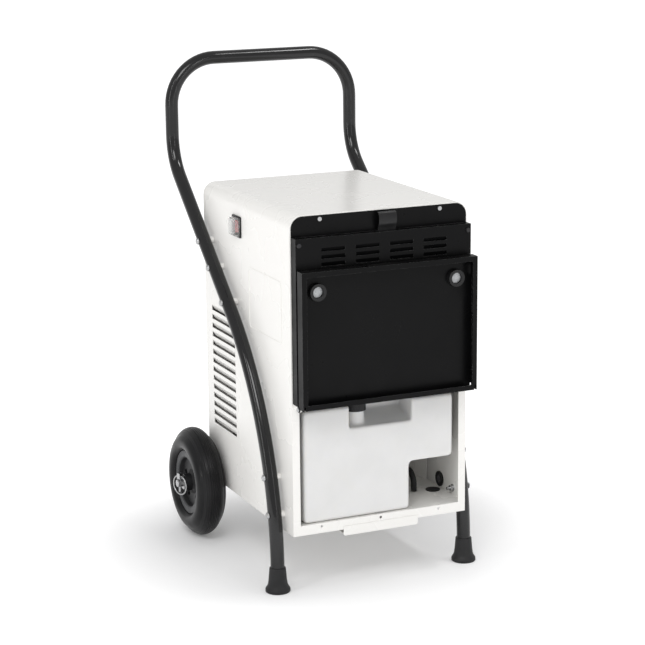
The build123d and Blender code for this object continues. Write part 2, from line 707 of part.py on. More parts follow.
# ---------------------------------------------------------------- tank door
EAR_X = 163.8
EAR_THICK = 2.0
EAR_RADIUS = 5.0
PIN_RADIUS = 2.0
RELIEF_X = 162.8
CUP_X = 132.8
CUP_HEIGHT = 553.0
CUP_RADIUS = 16.0
CUP_DEEP = 8.8
MAGNET_RADIUS = 10.0
MAGNET_THICK = 3.0
door_height = DOOR_FAR_END - DOOR_NEAR_END
door_middle = (DOOR_FAR_END + DOOR_NEAR_END) / 2
door_inside = DOOR_BACK - SHEET

with BuildPart() as door_panel:
    with BuildSketch(facing(DOOR_BACK)):
        with Locations((0, door_middle)):
            Rectangle(2 * PLATE_HALF, door_height)
    extrude(amount=DOOR_REACH + DOOR_BACK)
    with BuildSketch(facing(door_inside)):
        with Locations((0, door_middle)):
            Rectangle(2 * (PLATE_HALF - SHEET), door_height - 2 * SHEET)
    extrude(amount=DOOR_REACH + door_inside - SHEET, mode=Mode.SUBTRACT)
    with BuildSketch(facing(door_inside)):
        with Locations((0, door_middle)):
            Rectangle(2 * (PLATE_HALF - DOOR_LIP), door_height - 2 * DOOR_LIP)
    extrude(amount=DOOR_REACH, mode=Mode.SUBTRACT)
    # Hinge lugs on the side flanges, then the corner reliefs that clear the fixed ears.
    with BuildSketch(side(-PLATE_HALF), side(PLATE_HALF - SHEET)):
        with Locations((HINGE_DEPTH, HINGE_HEIGHT)):
            Circle(EAR_RADIUS)
    extrude(amount=SHEET)
    for flank in SIDES:
        with BuildSketch(side(flank * RELIEF_X)):
            with Locations((HINGE_DEPTH - 12, HINGE_HEIGHT + 3)):
                Rectangle(32, 14)
        extrude(amount=flank * (PLATE_HALF - SHEET - RELIEF_X), mode=Mode.SUBTRACT)
    with BuildSketch(side(-PLATE_HALF - 1)):
        with Locations((HINGE_DEPTH, HINGE_HEIGHT)):
            Circle(PIN_RADIUS + RUNNING_GAP)
    extrude(amount=2 * PLATE_HALF + 2, mode=Mode.SUBTRACT)
    # Slot in the right flange that lets a drain hose out under the closed door.
    with BuildSketch(side(PLATE_HALF + 1)):
        with Locations((-37, 563)):
            SlotOverall(19, 11, rotation=90)
    extrude(amount=-SHEET - 2, mode=Mode.SUBTRACT)
door_panel.part.label = "door_panel"

with BuildPart() as magnet_cups:
    with BuildSketch(facing(door_inside)):
        with Locations((-CUP_X, CUP_HEIGHT), (CUP_X, CUP_HEIGHT)):
            Circle(CUP_RADIUS)
    extrude(amount=CUP_DEEP, taper=6)
    with BuildSketch(facing(door_inside)):
        with Locations((-CUP_X, CUP_HEIGHT), (CUP_X, CUP_HEIGHT)):
            Circle(MAGNET_RADIUS)
    extrude(amount=CUP_DEEP, mode=Mode.SUBTRACT)
magnet_cups.part.label = "magnet_cups"

with BuildPart() as door_magnets:
    with BuildSketch(facing(door_inside)):
        with Locations((-CUP_X, CUP_HEIGHT), (CUP_X, CUP_HEIGHT)):
            Circle(MAGNET_RADIUS)
    extrude(amount=MAGNET_THICK)
    chamfer(door_magnets.edges().filter_by(GeomType.CIRCLE).group_by(Axis.Y)[0], 0.6)
door_magnets.part.label = "door_magnets"

with BuildPart() as hinge_ears:
    for flank in SIDES:
        with BuildSketch(side(flank * EAR_X)):
            with Locations((HINGE_DEPTH, HINGE_HEIGHT)):
                Circle(EAR_RADIUS)
            with Locations((HINGE_DEPTH / 2, HINGE_HEIGHT - 0.8)):
                Rectangle(-HINGE_DEPTH, 2 * EAR_RADIUS - 1.6)
            with Locations((HINGE_DEPTH, HINGE_HEIGHT)):
                Circle(PIN_RADIUS, mode=Mode.SUBTRACT)
        extrude(amount=flank * EAR_THICK)
        with BuildSketch(facing(0)):
            with Locations((flank * (EAR_X - 4), HINGE_HEIGHT - 0.8)):
                Rectangle(8 + EAR_THICK, 2 * EAR_RADIUS - 1.6)
        extrude(amount=SHEET)
hinge_ears.part.label = "hinge_ears"

with BuildPart() as hinge_pins:
    for flank in SIDES:
        with BuildSketch(side(flank * EAR_X)):
            with Locations((HINGE_DEPTH, HINGE_HEIGHT)):
                Circle(PIN_RADIUS)
        extrude(amount=flank * (PLATE_HALF + 0.4 - EAR_X))
        with BuildSketch(side(flank * (PLATE_HALF + 0.4))):
            with Locations((HINGE_DEPTH, HINGE_HEIGHT)):
                Circle(2 * PIN_RADIUS)
        extrude(amount=flank * 1.4)
hinge_pins.part.label = "hinge_pins"

# ---------------------------------------------------------------- water tank
RECESS_LEFT = -58.0
RECESS_RIGHT = 64.0
RECESS_BOTTOM = 293.0
RECESS_BACK = 58.0
RECESS_REAR_RISE = 17.0
CAP_X = -36.0
CAP_DEPTH = 31.0
CAP_RADIUS = 20.0
CAP_BOTTOM = 319.0
NECK_RADIUS = 17.0
NECK_WALL = 2.0
FILL_DEPTH = 112.0
FILL_RADIUS = 24.0
FLOAT_PIVOT_X = 105.0
FLOAT_PIVOT_DEPTH = 150.0
FLOAT_PIVOT_HEIGHT = 312.0


def tank_form(inset, front_rounding):
    """The tank's outer form drawn in by inset: a block, less its corner notch and hand recess."""
    with BuildPart() as form:
        with BuildSketch(facing(TANK_FRONT + inset)) as front:
            with BuildLine():
                Polyline(
                    (-TANK_HALF + inset, TANK_BOTTOM + inset),
                    (NOTCH_X - inset, TANK_BOTTOM + inset),
                    (NOTCH_X - inset, NOTCH_TOP + inset),
                    (TANK_HALF - inset, NOTCH_TOP + inset),
                    (TANK_HALF - inset, TANK_TOP - inset),
                    (-TANK_HALF + inset, TANK_TOP - inset),
                    close=True,
                )
            make_face()
            fillet(front.vertices(), 7)
        extrude(amount=-(TANK_BACK - TANK_FRONT - 2 * inset))
        if front_rounding:
            fillet(form.edges().group_by(Axis.Y)[0], front_rounding)
        with BuildSketch(side(RECESS_LEFT - inset)):
            Polygon(
                (TANK_FRONT - 1, RECESS_BOTTOM - inset),
                (TANK_FRONT + 9, RECESS_BOTTOM + 1 - inset),
                (RECESS_BACK + inset, RECESS_BOTTOM + RECESS_REAR_RISE - inset),
                (RECESS_BACK + inset, TANK_TOP + 1),
                (TANK_FRONT - 1, TANK_TOP + 1),
                align=None,
            )
        extrude(amount=RECESS_RIGHT - RECESS_LEFT + 2 * inset, mode=Mode.SUBTRACT)
    return form.part


with BuildPart() as water_tank:
    add(tank_form(0, 5))
    with BuildSketch(level(RECESS_BOTTOM)):
        with Locations((CAP_X, CAP_DEPTH)):
            Circle(NECK_RADIUS)
    extrude(amount=TANK_TOP - 3 - RECESS_BOTTOM)
    add(tank_form(TANK_WALL, 0), mode=Mode.SUBTRACT)
    with BuildSketch(level(CAP_BOTTOM - 30)):
        with Locations((CAP_X, CAP_DEPTH)):
            Circle(NECK_RADIUS - NECK_WALL)
    extrude(amount=60, mode=Mode.SUBTRACT)
    with BuildSketch(level(TANK_TOP + 1)):
        with Locations((0, FILL_DEPTH)):
            Circle(FILL_RADIUS)
    extrude(amount=-TANK_WALL - 2, mode=Mode.SUBTRACT)
    # Two lugs under the roof carry the float's pin.
    with BuildSketch(side(FLOAT_PIVOT_X - 10), side(FLOAT_PIVOT_X + 7)):
        with Locations((FLOAT_PIVOT_DEPTH, (FLOAT_PIVOT_HEIGHT - 6 + TANK_TOP - TANK_WALL) / 2)):
            Rectangle(12, TANK_TOP - TANK_WALL - FLOAT_PIVOT_HEIGHT + 6)
        with Locations((FLOAT_PIVOT_DEPTH, FLOAT_PIVOT_HEIGHT)):
            Circle(PIN_RADIUS, mode=Mode.SUBTRACT)
    extrude(amount=3)
water_tank.part.label = "water_tank"

with BuildPart() as tank_cap:
    with BuildSketch(level(CAP_BOTTOM)):
        with Locations((CAP_X, CAP_DEPTH)):
            Circle(CAP_RADIUS)
    extrude(amount=TANK_TOP - CAP_BOTTOM)
    chamfer(tank_cap.edges().filter_by(GeomType.CIRCLE).group_by(Axis.Z)[-1], 1.5)
    with BuildSketch(level(CAP_BOTTOM)):
        with Locations((CAP_X, CAP_DEPTH)):
            Circle(NECK_RADIUS + 0.3)
    extrude(amount=TANK_TOP - CAP_BOTTOM - 2.6, mode=Mode.SUBTRACT)
    with BuildSketch(level(CAP_BOTTOM)):
        with Locations((CAP_X, CAP_DEPTH)):
            with PolarLocations(CAP_RADIUS, 36):
                Circle(0.7)
    extrude(amount=TANK_TOP - CAP_BOTTOM - 3, mode=Mode.SUBTRACT)
tank_cap.part.label = "tank_cap"

with BuildPart() as float_pin:
    with BuildSketch(side(FLOAT_PIVOT_X - 12)):
        with Locations((FLOAT_PIVOT_DEPTH, FLOAT_PIVOT_HEIGHT)):
            Circle(PIN_RADIUS)
    extrude(amount=24)
float_pin.part.label = "float_pin"

with BuildPart() as tank_float:
    with BuildSketch(side(FLOAT_PIVOT_X - 3)):
        with Locations((FLOAT_PIVOT_DEPTH, FLOAT_PIVOT_HEIGHT)):
            Circle(4.5)
        with Locations((FLOAT_PIVOT_DEPTH, FLOAT_PIVOT_HEIGHT - 20)):
            Rectangle(5, 40)
        with Locations((FLOAT_PIVOT_DEPTH, FLOAT_PIVOT_HEIGHT)):
            Circle(PIN_RADIUS + RUNNING_GAP, mode=Mode.SUBTRACT)
    extrude(amount=6)
    with BuildSketch(side(FLOAT_PIVOT_X - 16)):
        with Locations((FLOAT_PIVOT_DEPTH, FLOAT_PIVOT_HEIGHT - 54)):
            RectangleRounded(30, 32, 8)
    extrude(amount=32)
tank_float.part.label = "tank_float"

# ---------------------------------------------------------------- tank bay
PARTITION_DEPTH = 195.0
PARTITION_TOP = 345.0
WING_DEPTH = 146.0
DRIP_BOTTOM = 345.5
DRIP_TALL = 18.0
DRIP_FRONT = 6.0
DRIP_BACK = 196.0
DRIP_HALF = 152.0
SPIGOT_RADIUS = 9.0
HOSE_X = 112.0
HOSE_RADIUS = 5.5

with BuildPart() as rear_partition:
    with BuildSketch(level(FLOOR_TOP)):
        with BuildLine():
            Polyline((-INNER_HALF, PARTITION_DEPTH), (156, PARTITION_DEPTH), (166, WING_DEPTH))
        trace(line_width=SHEET)
    extrude(amount=PARTITION_TOP - FLOOR_TOP)
    with BuildSketch(facing(PARTITION_DEPTH - 5)):
        with Locations((HOSE_X, 163)):
            Circle(HOSE_RADIUS)
    extrude(amount=-10, mode=Mode.SUBTRACT)
rear_partition.part.label = "rear_partition"

with BuildPart() as drip_tray:
    with BuildSketch(level(DRIP_BOTTOM)):
        with Locations((0, (DRIP_FRONT + DRIP_BACK) / 2)):
            Rectangle(2 * DRIP_HALF, DRIP_BACK - DRIP_FRONT)
    extrude(amount=DRIP_TALL)
    with BuildSketch(level(DRIP_BOTTOM + 2)):
        with Locations((0, (DRIP_FRONT + DRIP_BACK) / 2)):
            Rectangle(2 * DRIP_HALF - 4, DRIP_BACK - DRIP_FRONT - 4)
    extrude(amount=DRIP_TALL, mode=Mode.SUBTRACT)
    with BuildSketch(level(DRIP_BOTTOM)):
        with Locations((0, FILL_DEPTH)):
            Circle(SPIGOT_RADIUS)
    extrude(amount=-8)
    with BuildSketch(level(DRIP_BOTTOM - 9)):
        with Locations((0, FILL_DEPTH)):
            Circle(SPIGOT_RADIUS - 2)
    extrude(amount=14, mode=Mode.SUBTRACT)
drip_tray.part.label = "drip_tray"

with BuildPart() as rubber_grommets:
    with BuildSketch(side(INNER_HALF - 3)):
        with Locations((GROMMET_DEPTH, GROMMET_HEIGHT)):
            Circle(GROMMET_HOLE + 3)
    extrude(amount=3)
    with BuildSketch(side(INNER_HALF)):
        with Locations((GROMMET_DEPTH, GROMMET_HEIGHT)):
            Circle(GROMMET_HOLE)
    extrude(amount=SHEET)
    with BuildSketch(side(HALF_WIDTH)):
        with Locations((GROMMET_DEPTH, GROMMET_HEIGHT)):
            Circle(GROMMET_HOLE + 3)
    extrude(amount=3)
    with BuildSketch(side(INNER_HALF - 4)):
        with Locations((GROMMET_DEPTH, GROMMET_HEIGHT)):
            Circle(7)
    extrude(amount=10, mode=Mode.SUBTRACT)
    # A plug closes the hole in the bay's floor.
    with BuildSketch(level(FLOOR_TOP)):
        with Locations(FLOOR_HOLE):
            Circle(FLOOR_HOLE_RADIUS + 2)
    extrude(amount=1.5)
    with BuildSketch(level(FLOOR_TOP - TRAY_SHEET)):
        with Locations(FLOOR_HOLE):
            Circle(FLOOR_HOLE_RADIUS)
    extrude(amount=TRAY_SHEET)
rubber_grommets.part.label = "rubber_grommets"

with BuildPart() as drain_hose:
    with BuildLine():
        FilletPolyline(
            point(HOSE_X, PARTITION_DEPTH + 20, 163),
            point(HOSE_X, 92, 163),
            point(HOSE_X, 92, FLOOR_TOP + 1),
            radius=22,
        )
    with BuildSketch(Plane(origin=point(HOSE_X, PARTITION_DEPTH + 20, 163), z_dir=(0, -1, 0))):
        Circle(HOSE_RADIUS)
        Circle(HOSE_RADIUS - 1.5, mode=Mode.SUBTRACT)
    sweep()
drain_hose.part.label = "drain_hose"

with BuildPart() as reed_switch:
    with BuildSketch(facing(PARTITION_DEPTH - SHEET / 2)):
        with Locations((FLOAT_PIVOT_X, 258)):
            RectangleRounded(24, 40, 3)
    extrude(amount=8)
reed_switch.part.label = "reed_switch"

# ---------------------------------------------------------------- refrigeration circuit
COIL_HALF = 138.0
COIL_BOTTOM = 368.0
COIL_TOP = 640.0
FIN_COUNT = 40
FIN_THICK = 0.8
COIL_ROWS = 8
COIL_PITCH = 33.0
COIL_TUBE = 4.5
EVAPORATOR_DEPTH = 32.0
EVAPORATOR_THICK = 40.0
CONDENSER_DEPTH = 92.0
CONDENSER_THICK = 48.0
row_heights = [COIL_BOTTOM + 20 + COIL_PITCH * row for row in range(COIL_ROWS)]


def make_fins(depth, thick):
    """A pack of thin fins on a common pitch, each pierced for the coil's tube."""
    gap = (2 * COIL_HALF - FIN_THICK) / (FIN_COUNT - 1)
    with BuildPart() as fins:
        with BuildSketch(*[side(-COIL_HALF + gap * index) for index in range(FIN_COUNT)]):
            with Locations((depth, (COIL_BOTTOM + COIL_TOP) / 2)):
                Rectangle(thick, COIL_TOP - COIL_BOTTOM)
            with Locations(*[(depth, z) for z in row_heights]):
                Circle(COIL_TUBE, mode=Mode.SUBTRACT)
        extrude(amount=FIN_THICK)
    return fins.part


def make_coil(depth):
    """One tube that runs back and forth through the fins, with a return bend at each end."""
    reach = COIL_HALF + 3
    with BuildPart() as coil:
        with BuildLine():
            for row, z in enumerate(row_heights):
                turn = -1 if row % 2 else 1
                Line(point(-turn * reach, depth, z), point(turn * reach, depth, z))
                if row < COIL_ROWS - 1:
                    ThreePointArc(
                        point(turn * reach, depth, z),
                        point(turn * (reach + COIL_PITCH / 2), depth, z + COIL_PITCH / 2),
                        point(turn * reach, depth, z + COIL_PITCH),
                    )
        with BuildSketch(Plane(origin=point(-reach, depth, row_heights[0]), z_dir=(1, 0, 0))):
            Circle(COIL_TUBE)
            Circle(COIL_TUBE - 0.8, mode=Mode.SUBTRACT)
        sweep()
    return coil.part


coil_parts = []
for name, depth, thick in (
    ("evaporator", EVAPORATOR_DEPTH, EVAPORATOR_THICK),
    ("condenser", CONDENSER_DEPTH, CONDENSER_THICK),
):
    fins = make_fins(depth, thick)
    fins.label = f"{name}_fins"
    coil = make_coil(depth)
    coil.label = f"{name}_tube"
    coil_parts += [fins, coil]

COMPRESSOR_X = 20.0
COMPRESSOR_DEPTH = 300.0
COMPRESSOR_RADIUS = 64.0
COMPRESSOR_BASE = 150.0
COMPRESSOR_TOP = 318.0
compressor_feet = [(COMPRESSOR_X + dx, COMPRESSOR_DEPTH + dy) for dx in (-62, 62) for dy in (-62, 62)]

with BuildPart() as compressor:
    with BuildSketch(level(COMPRESSOR_BASE)):
        with Locations((COMPRESSOR_X, COMPRESSOR_DEPTH)):
            Circle(COMPRESSOR_RADIUS)
    extrude(amount=COMPRESSOR_TOP - COMPRESSOR_BASE)
    fillet(compressor.edges().filter_by(GeomType.CIRCLE), 26)
    # Weld flange round the shell's middle and the foot plate below.
    with BuildSketch(level(230)):
        with Locations((COMPRESSOR_X, COMPRESSOR_DEPTH)):
            Circle(COMPRESSOR_RADIUS + 3)
    extrude(amount=4)
    with BuildSketch(level(COMPRESSOR_BASE - 3)):
        with Locations((COMPRESSOR_X, COMPRESSOR_DEPTH)):
            RectangleRounded(146, 146, 14)
        with Locations(*compressor_feet):
            Circle(4, mode=Mode.SUBTRACT)
    extrude(amount=4)
    # Terminal cover on the side.
    with BuildSketch(side(COMPRESSOR_X - COMPRESSOR_RADIUS - 14)):
        with Locations((COMPRESSOR_DEPTH, 265)):
            RectangleRounded(44, 50, 6)
    extrude(amount=24)
compressor.part.label = "compressor"

with BuildPart() as compressor_mounts:
    with BuildSketch(level(FLOOR_TOP)):
        with Locations(*compressor_feet):
            Circle(10)
    extrude(amount=COMPRESSOR_BASE - 3 - FLOOR_TOP)
    with BuildSketch(level(COMPRESSOR_BASE - 3)):
        with Locations(*compressor_feet):
            Circle(4)
    extrude(amount=10)
compressor_mounts.part.label = "compressor_mounts"

ACCUMULATOR_X = 118.0
ACCUMULATOR_DEPTH = 290.0

with BuildPart() as accumulator:
    with BuildSketch(level(180)):
        with Locations((ACCUMULATOR_X, ACCUMULATOR_DEPTH)):
            Circle(20)
    extrude(amount=110)
    fillet(accumulator.edges().filter_by(GeomType.CIRCLE), 12)
    with BuildSketch(level(FLOOR_TOP)):
        with Locations((ACCUMULATOR_X, ACCUMULATOR_DEPTH)):
            Circle(7)
    extrude(amount=58)
accumulator.part.label = "accumulator"

PIPE_RADIUS = 4.0
DISCHARGE_HEIGHT = 353.0
COIL_END = -(COIL_HALF + 3)


def pipe(bend, *stops):
    """One copper pipe along a route of (x, depth, z) stops, with equal bends."""
    route = [point(*stop) for stop in stops]
    with BuildPart() as tube:
        with BuildLine() as line:
            FilletPolyline(*route, radius=bend)
        with BuildSketch(Plane(origin=route[0], z_dir=line.line % 0)):
            Circle(PIPE_RADIUS)
            Circle(PIPE_RADIUS - 0.8, mode=Mode.SUBTRACT)
        sweep()
    return tube.part


with BuildPart() as refrigerant_pipes:
    # Discharge: compressor dome to the condenser's top row.
    add(
        pipe(
            14,
            (COMPRESSOR_X - 20, COMPRESSOR_DEPTH, COMPRESSOR_TOP),
            (COMPRESSOR_X - 20, COMPRESSOR_DEPTH, DISCHARGE_HEIGHT),
            (-158, COMPRESSOR_DEPTH, DISCHARGE_HEIGHT),
            (-158, 150, DISCHARGE_HEIGHT),
            (-158, 150, row_heights[-1]),
            (-158, CONDENSER_DEPTH, row_heights[-1]),
            (COIL_END, CONDENSER_DEPTH, row_heights[-1]),
        )
    )
    # Suction: accumulator to the compressor dome.
    add(
        pipe(
            14,
            (ACCUMULATOR_X, ACCUMULATOR_DEPTH, 290),
            (ACCUMULATOR_X, ACCUMULATOR_DEPTH, 340),
            (COMPRESSOR_X + 20, ACCUMULATOR_DEPTH, 340),
            (COMPRESSOR_X + 20, ACCUMULATOR_DEPTH, COMPRESSOR_TOP),
        )
    )
refrigerant_pipes.part.label = "refrigerant_pipes"

# ---------------------------------------------------------------- fan
FAN_HEIGHT = 505.0
FAN_DEPTH = 152.0
SHROUD_DEPTH = 128.0
SHROUD_HOLE = 118.0
BLADE_TIP = 112.0
BLADE_COUNT = 5
MOTOR_RADIUS = 42.0
MOTOR_FRONT = 186.0
MOTOR_BACK = 252.0
SHAFT_RADIUS = 4.0
BLADE_PITCH = 32.0

with BuildPart() as fan_shroud:
    with BuildSketch(facing(SHROUD_DEPTH + 2)):
        with Locations((0, (COIL_BOTTOM + COIL_TOP) / 2 + 2)):
            Rectangle(2 * COIL_HALF + 20, COIL_TOP - COIL_BOTTOM)
        with Locations((0, FAN_HEIGHT)):
            Circle(SHROUD_HOLE, mode=Mode.SUBTRACT)
    extrude(amount=2)
    with BuildSketch(facing(SHROUD_DEPTH + 46)):
        with Locations((0, FAN_HEIGHT)):
            Circle(SHROUD_HOLE + 2)
            Circle(SHROUD_HOLE, mode=Mode.SUBTRACT)
    extrude(amount=46)
    # Four arms reach back from the ring to the motor's face.
    with BuildSketch(facing(MOTOR_FRONT)):
        with Locations((0, FAN_HEIGHT)):
            with PolarLocations((SHROUD_HOLE + MOTOR_RADIUS) / 2, 4, start_angle=45):
                Rectangle(SHROUD_HOLE - MOTOR_RADIUS + 24, 10)
            Circle(30, mode=Mode.SUBTRACT)
    extrude(amount=3)
    with BuildSketch(facing(MOTOR_FRONT)):
        with Locations((0, FAN_HEIGHT)):
            with PolarLocations(SHROUD_HOLE + 5, 4, start_angle=45):
                Rectangle(8, 10)
    extrude(amount=MOTOR_FRONT - SHROUD_DEPTH)
fan_shroud.part.label = "fan_shroud"

with BuildPart() as fan_motor:
    with BuildSketch(facing(MOTOR_BACK)):
        with Locations((0, FAN_HEIGHT)):
            Circle(MOTOR_RADIUS)
    extrude(amount=MOTOR_BACK - MOTOR_FRONT)
    fillet(fan_motor.edges().filter_by(GeomType.CIRCLE), 5)
    with BuildSketch(facing(MOTOR_BACK)):
        with Locations((0, FAN_HEIGHT)):
            Circle(SHAFT_RADIUS + RUNNING_GAP)
    extrude(amount=100, mode=Mode.SUBTRACT)
fan_motor.part.label = "fan_motor"

with BuildPart() as fan_shaft:
    with BuildSketch(facing(MOTOR_BACK - 10)):
        with Locations((0, FAN_HEIGHT)):
            Circle(SHAFT_RADIUS)
    extrude(amount=MOTOR_BACK - 10 - (FAN_DEPTH - 14))
fan_shaft.part.label = "fan_shaft"

with BuildPart() as fan_impeller:
    with BuildSketch(facing(FAN_DEPTH + 12)):
        with Locations((0, FAN_HEIGHT)):
            Circle(26)
    extrude(amount=24)
    # Each blade is a flat, pitched plate between the hub and the tip circle.
    for index in range(BLADE_COUNT):
        turn = radians(360 / BLADE_COUNT * index)
        outward = Vector(sin(turn), 0, cos(turn))
        chord = Vector(cos(turn), 0, -sin(turn)) * cos(radians(BLADE_PITCH))
        chord += Vector(0, sin(radians(BLADE_PITCH)), 0)
        root = point(0, FAN_DEPTH, FAN_HEIGHT) + outward * 20
        with BuildSketch(Plane(origin=root, x_dir=chord, z_dir=outward)):
            RectangleRounded(40, 2.2, 1)
        extrude(amount=BLADE_TIP - 21)
    with BuildSketch(facing(FAN_DEPTH + 20)):
        with Locations((0, FAN_HEIGHT)):
            Circle(SHAFT_RADIUS)
    extrude(amount=40, mode=Mode.SUBTRACT)
fan_impeller.part.label = "fan_impeller"

# ---------------------------------------------------------------- electrics
BEZEL_WIDTH = 40.0
BEZEL_TALL = 39.0
BEZEL_THICK = 2.4
BOOT_WIDTH = 35.0
BOOT_TALL = 34.0
BOOT_OUT = 9.0
BOOT_WALL = 0.9
ROCKER_WIDTH = 22.0
ROCKER_TALL = 25.0
ROCKER_AXIS_X = -(HALF_WIDTH - 3.0)
SWITCH_BACK = 26.0
ROCKER_SLACK = 0.8

with BuildPart() as switch_body:
    with BuildSketch(side(-HALF_WIDTH)):
        with Locations((SWITCH_DEPTH, SWITCH_HEIGHT)):
            RectangleRounded(BEZEL_WIDTH, BEZEL_TALL, 3)
    extrude(amount=-BEZEL_THICK)
    with BuildSketch(side(-HALF_WIDTH)):
        with Locations((SWITCH_DEPTH, SWITCH_HEIGHT)):
            Rectangle(SWITCH_CUTOUT - 0.6, SWITCH_CUTOUT - 0.6)
    extrude(amount=SWITCH_BACK)
    with BuildSketch(side(-HALF_WIDTH - BEZEL_THICK)):
        with Locations((SWITCH_DEPTH, SWITCH_HEIGHT)):
            Rectangle(ROCKER_WIDTH + 1.5 * ROCKER_SLACK, ROCKER_TALL + 2 * ROCKER_SLACK)
    extrude(amount=BEZEL_THICK + 12, mode=Mode.SUBTRACT)
    # Terminal blades at the back.
    with BuildSketch(side(-HALF_WIDTH + SWITCH_BACK)):
        with Locations((SWITCH_DEPTH, SWITCH_HEIGHT)):
            with GridLocations(14, 10, 2, 2):
                Rectangle(0.8, 6)
    extrude(amount=9)
switch_body.part.label = "switch_body"

with BuildPart() as switch_rocker:
    # The top face is a shallow V, so that one end stands proud while the other is pressed in.
    with BuildSketch(Plane(origin=point(0, SWITCH_DEPTH + ROCKER_WIDTH / 2, 0), x_dir=(1, 0, 0), z_dir=(0, -1, 0))):
        with BuildLine():
            Polyline(
                (ROCKER_AXIS_X - 6.5, SWITCH_HEIGHT + ROCKER_TALL / 2 - 0.4),
                (ROCKER_AXIS_X - 4.6, SWITCH_HEIGHT),
                (ROCKER_AXIS_X - 3.0, SWITCH_HEIGHT - ROCKER_TALL / 2 + 0.4),
                (ROCKER_AXIS_X + 3.0, SWITCH_HEIGHT - ROCKER_TALL / 2 + 2.5),
                (ROCKER_AXIS_X + 5.0, SWITCH_HEIGHT),
                (ROCKER_AXIS_X + 3.0, SWITCH_HEIGHT + ROCKER_TALL / 2 - 2.5),
                close=True,
            )
        make_face()
    extrude(amount=ROCKER_WIDTH)
switch_rocker.part.label = "switch_rocker"

with BuildPart() as switch_boot:
    with BuildSketch(side(-HALF_WIDTH - BEZEL_THICK)):
        with Locations((SWITCH_DEPTH, SWITCH_HEIGHT)):
            RectangleRounded(BOOT_WIDTH, BOOT_TALL, 5)
    extrude(amount=-BOOT_OUT, taper=8)
    fillet(switch_boot.faces().sort_by(Axis.X)[0].edges(), 2.5)
    with BuildSketch(side(-HALF_WIDTH - BEZEL_THICK)):
        with Locations((SWITCH_DEPTH, SWITCH_HEIGHT)):
            RectangleRounded(BOOT_WIDTH - 2 * BOOT_WALL, BOOT_TALL - 2 * BOOT_WALL, 4)
    extrude(amount=-BOOT_OUT + BOOT_WALL, taper=8, mode=Mode.SUBTRACT)
switch_boot.part.label = "switch_boot"

with BuildPart() as control_box:
    with BuildSketch(side(-INNER_HALF)):
        with Locations((192, 530)):
            RectangleRounded(84, 118, 4)
    extrude(amount=46)
control_box.part.label = "control_box"

with BuildPart() as capacitor:
    with BuildSketch(level(FLOOR_TOP)):
        with Locations((-125, 250)):
            Circle(18)
    extrude(amount=82)
    fillet(capacitor.edges().filter_by(GeomType.CIRCLE).group_by(Axis.Z)[-1], 3)
capacitor.part.label = "capacitor"

with BuildPart() as cable_gland:
    with BuildSketch(facing(CABINET_DEPTH - SHEET)):
        with Locations((GLAND_X, GLAND_HEIGHT)):
            RegularPolygon(11, 6, major_radius=False)
    extrude(amount=5)
    with BuildSketch(facing(CABINET_DEPTH)):
        with Locations((GLAND_X, GLAND_HEIGHT)):
            Circle(GLAND_RADIUS)
    extrude(amount=SHEET)
    with BuildSketch(facing(CABINET_DEPTH)):
        with Locations((GLAND_X, GLAND_HEIGHT)):
            RegularPolygon(11, 6, major_radius=False)
    extrude(amount=-6)
    with BuildSketch(facing(CABINET_DEPTH + 6)):
        with Locations((GLAND_X, GLAND_HEIGHT)):
            Circle(9.5)
    extrude(amount=-12, taper=12)
    with BuildSketch(facing(CABINET_DEPTH - 8)):
        with Locations((GLAND_X, GLAND_HEIGHT)):
            Circle(4.5)
    extrude(amount=-40, mode=Mode.SUBTRACT)
cable_gland.part.label = "cable_gland"

# ---------------------------------------------------------------- screws
PAN_RADIUS = 4.4
PAN_HEIGHT = 2.6


def make_screws(plane, places, outward):
    """Pan-head screws: heads stand out of the plane and shanks run back through the sheet."""
    with BuildPart() as screws:
        with BuildSketch(plane):
            with Locations(*places):
                Circle(PAN_RADIUS)
        extrude(amount=outward * PAN_HEIGHT, taper=14)
        with BuildSketch(plane):
            with Locations(*places):
                Circle(SCREW_RADIUS)
        extrude(amount=-outward * 1.1)
    return screws.part


with BuildPart() as front_screws:
    add(make_screws(facing(-SHEET), plate_screw_places, 1))
front_screws.part.label = "front_screws"

with BuildPart() as black_screws:
    add(make_screws(facing(-HOUSING_REACH), housing_screw_places, 1))
    add(make_screws(facing(CABINET_DEPTH), back_screw_places, -1))
black_screws.part.label = "black_screws"

# ---------------------------------------------------------------- export
# A nut and its washer stay separate solids, which share one node.
frame_nuts = Compound(label="frame_nuts", children=list(nuts.part.solids()) + list(washers.part.solids()))
sheet_metal = [cabinet_shell, back_panel, base_tray, under_channel, front_plate, inlet_housing]
filter_pieces = [filter_frame, filter_mesh, filter_tab]
frame_pieces = [handle_frame, rubber_feet, frame_spacers, frame_bolts]
axle_pieces = [axle, axle_brackets, axle_washers, linch_pins]
door_pieces = [door_panel, magnet_cups, door_magnets, hinge_ears, hinge_pins]
tank_pieces = [water_tank, tank_cap, float_pin, tank_float]
bay_pieces = [rear_partition, drip_tray, rubber_grommets, drain_hose, reed_switch]
cooling_pieces = [compressor, compressor_mounts, accumulator, refrigerant_pipes]
fan_pieces = [fan_shroud, fan_motor, fan_shaft, fan_impeller]
electric_pieces = [switch_body, switch_rocker, switch_boot, control_box, capacitor, cable_gland]
screw_pieces = [front_screws, black_screws]

built_parts = [
    builder.part
    for group in (
        sheet_metal,
        filter_pieces,
        frame_pieces,
        axle_pieces,
        door_pieces,
        tank_pieces,
        bay_pieces,
        cooling_pieces,
        fan_pieces,
        electric_pieces,
        screw_pieces,
    )
    for builder in group
]

os.makedirs("parts", exist_ok=True)
for piece in built_parts + wheel_parts + coil_parts + [frame_nuts]:
    export_step(piece, f"parts/{piece.label}.step")
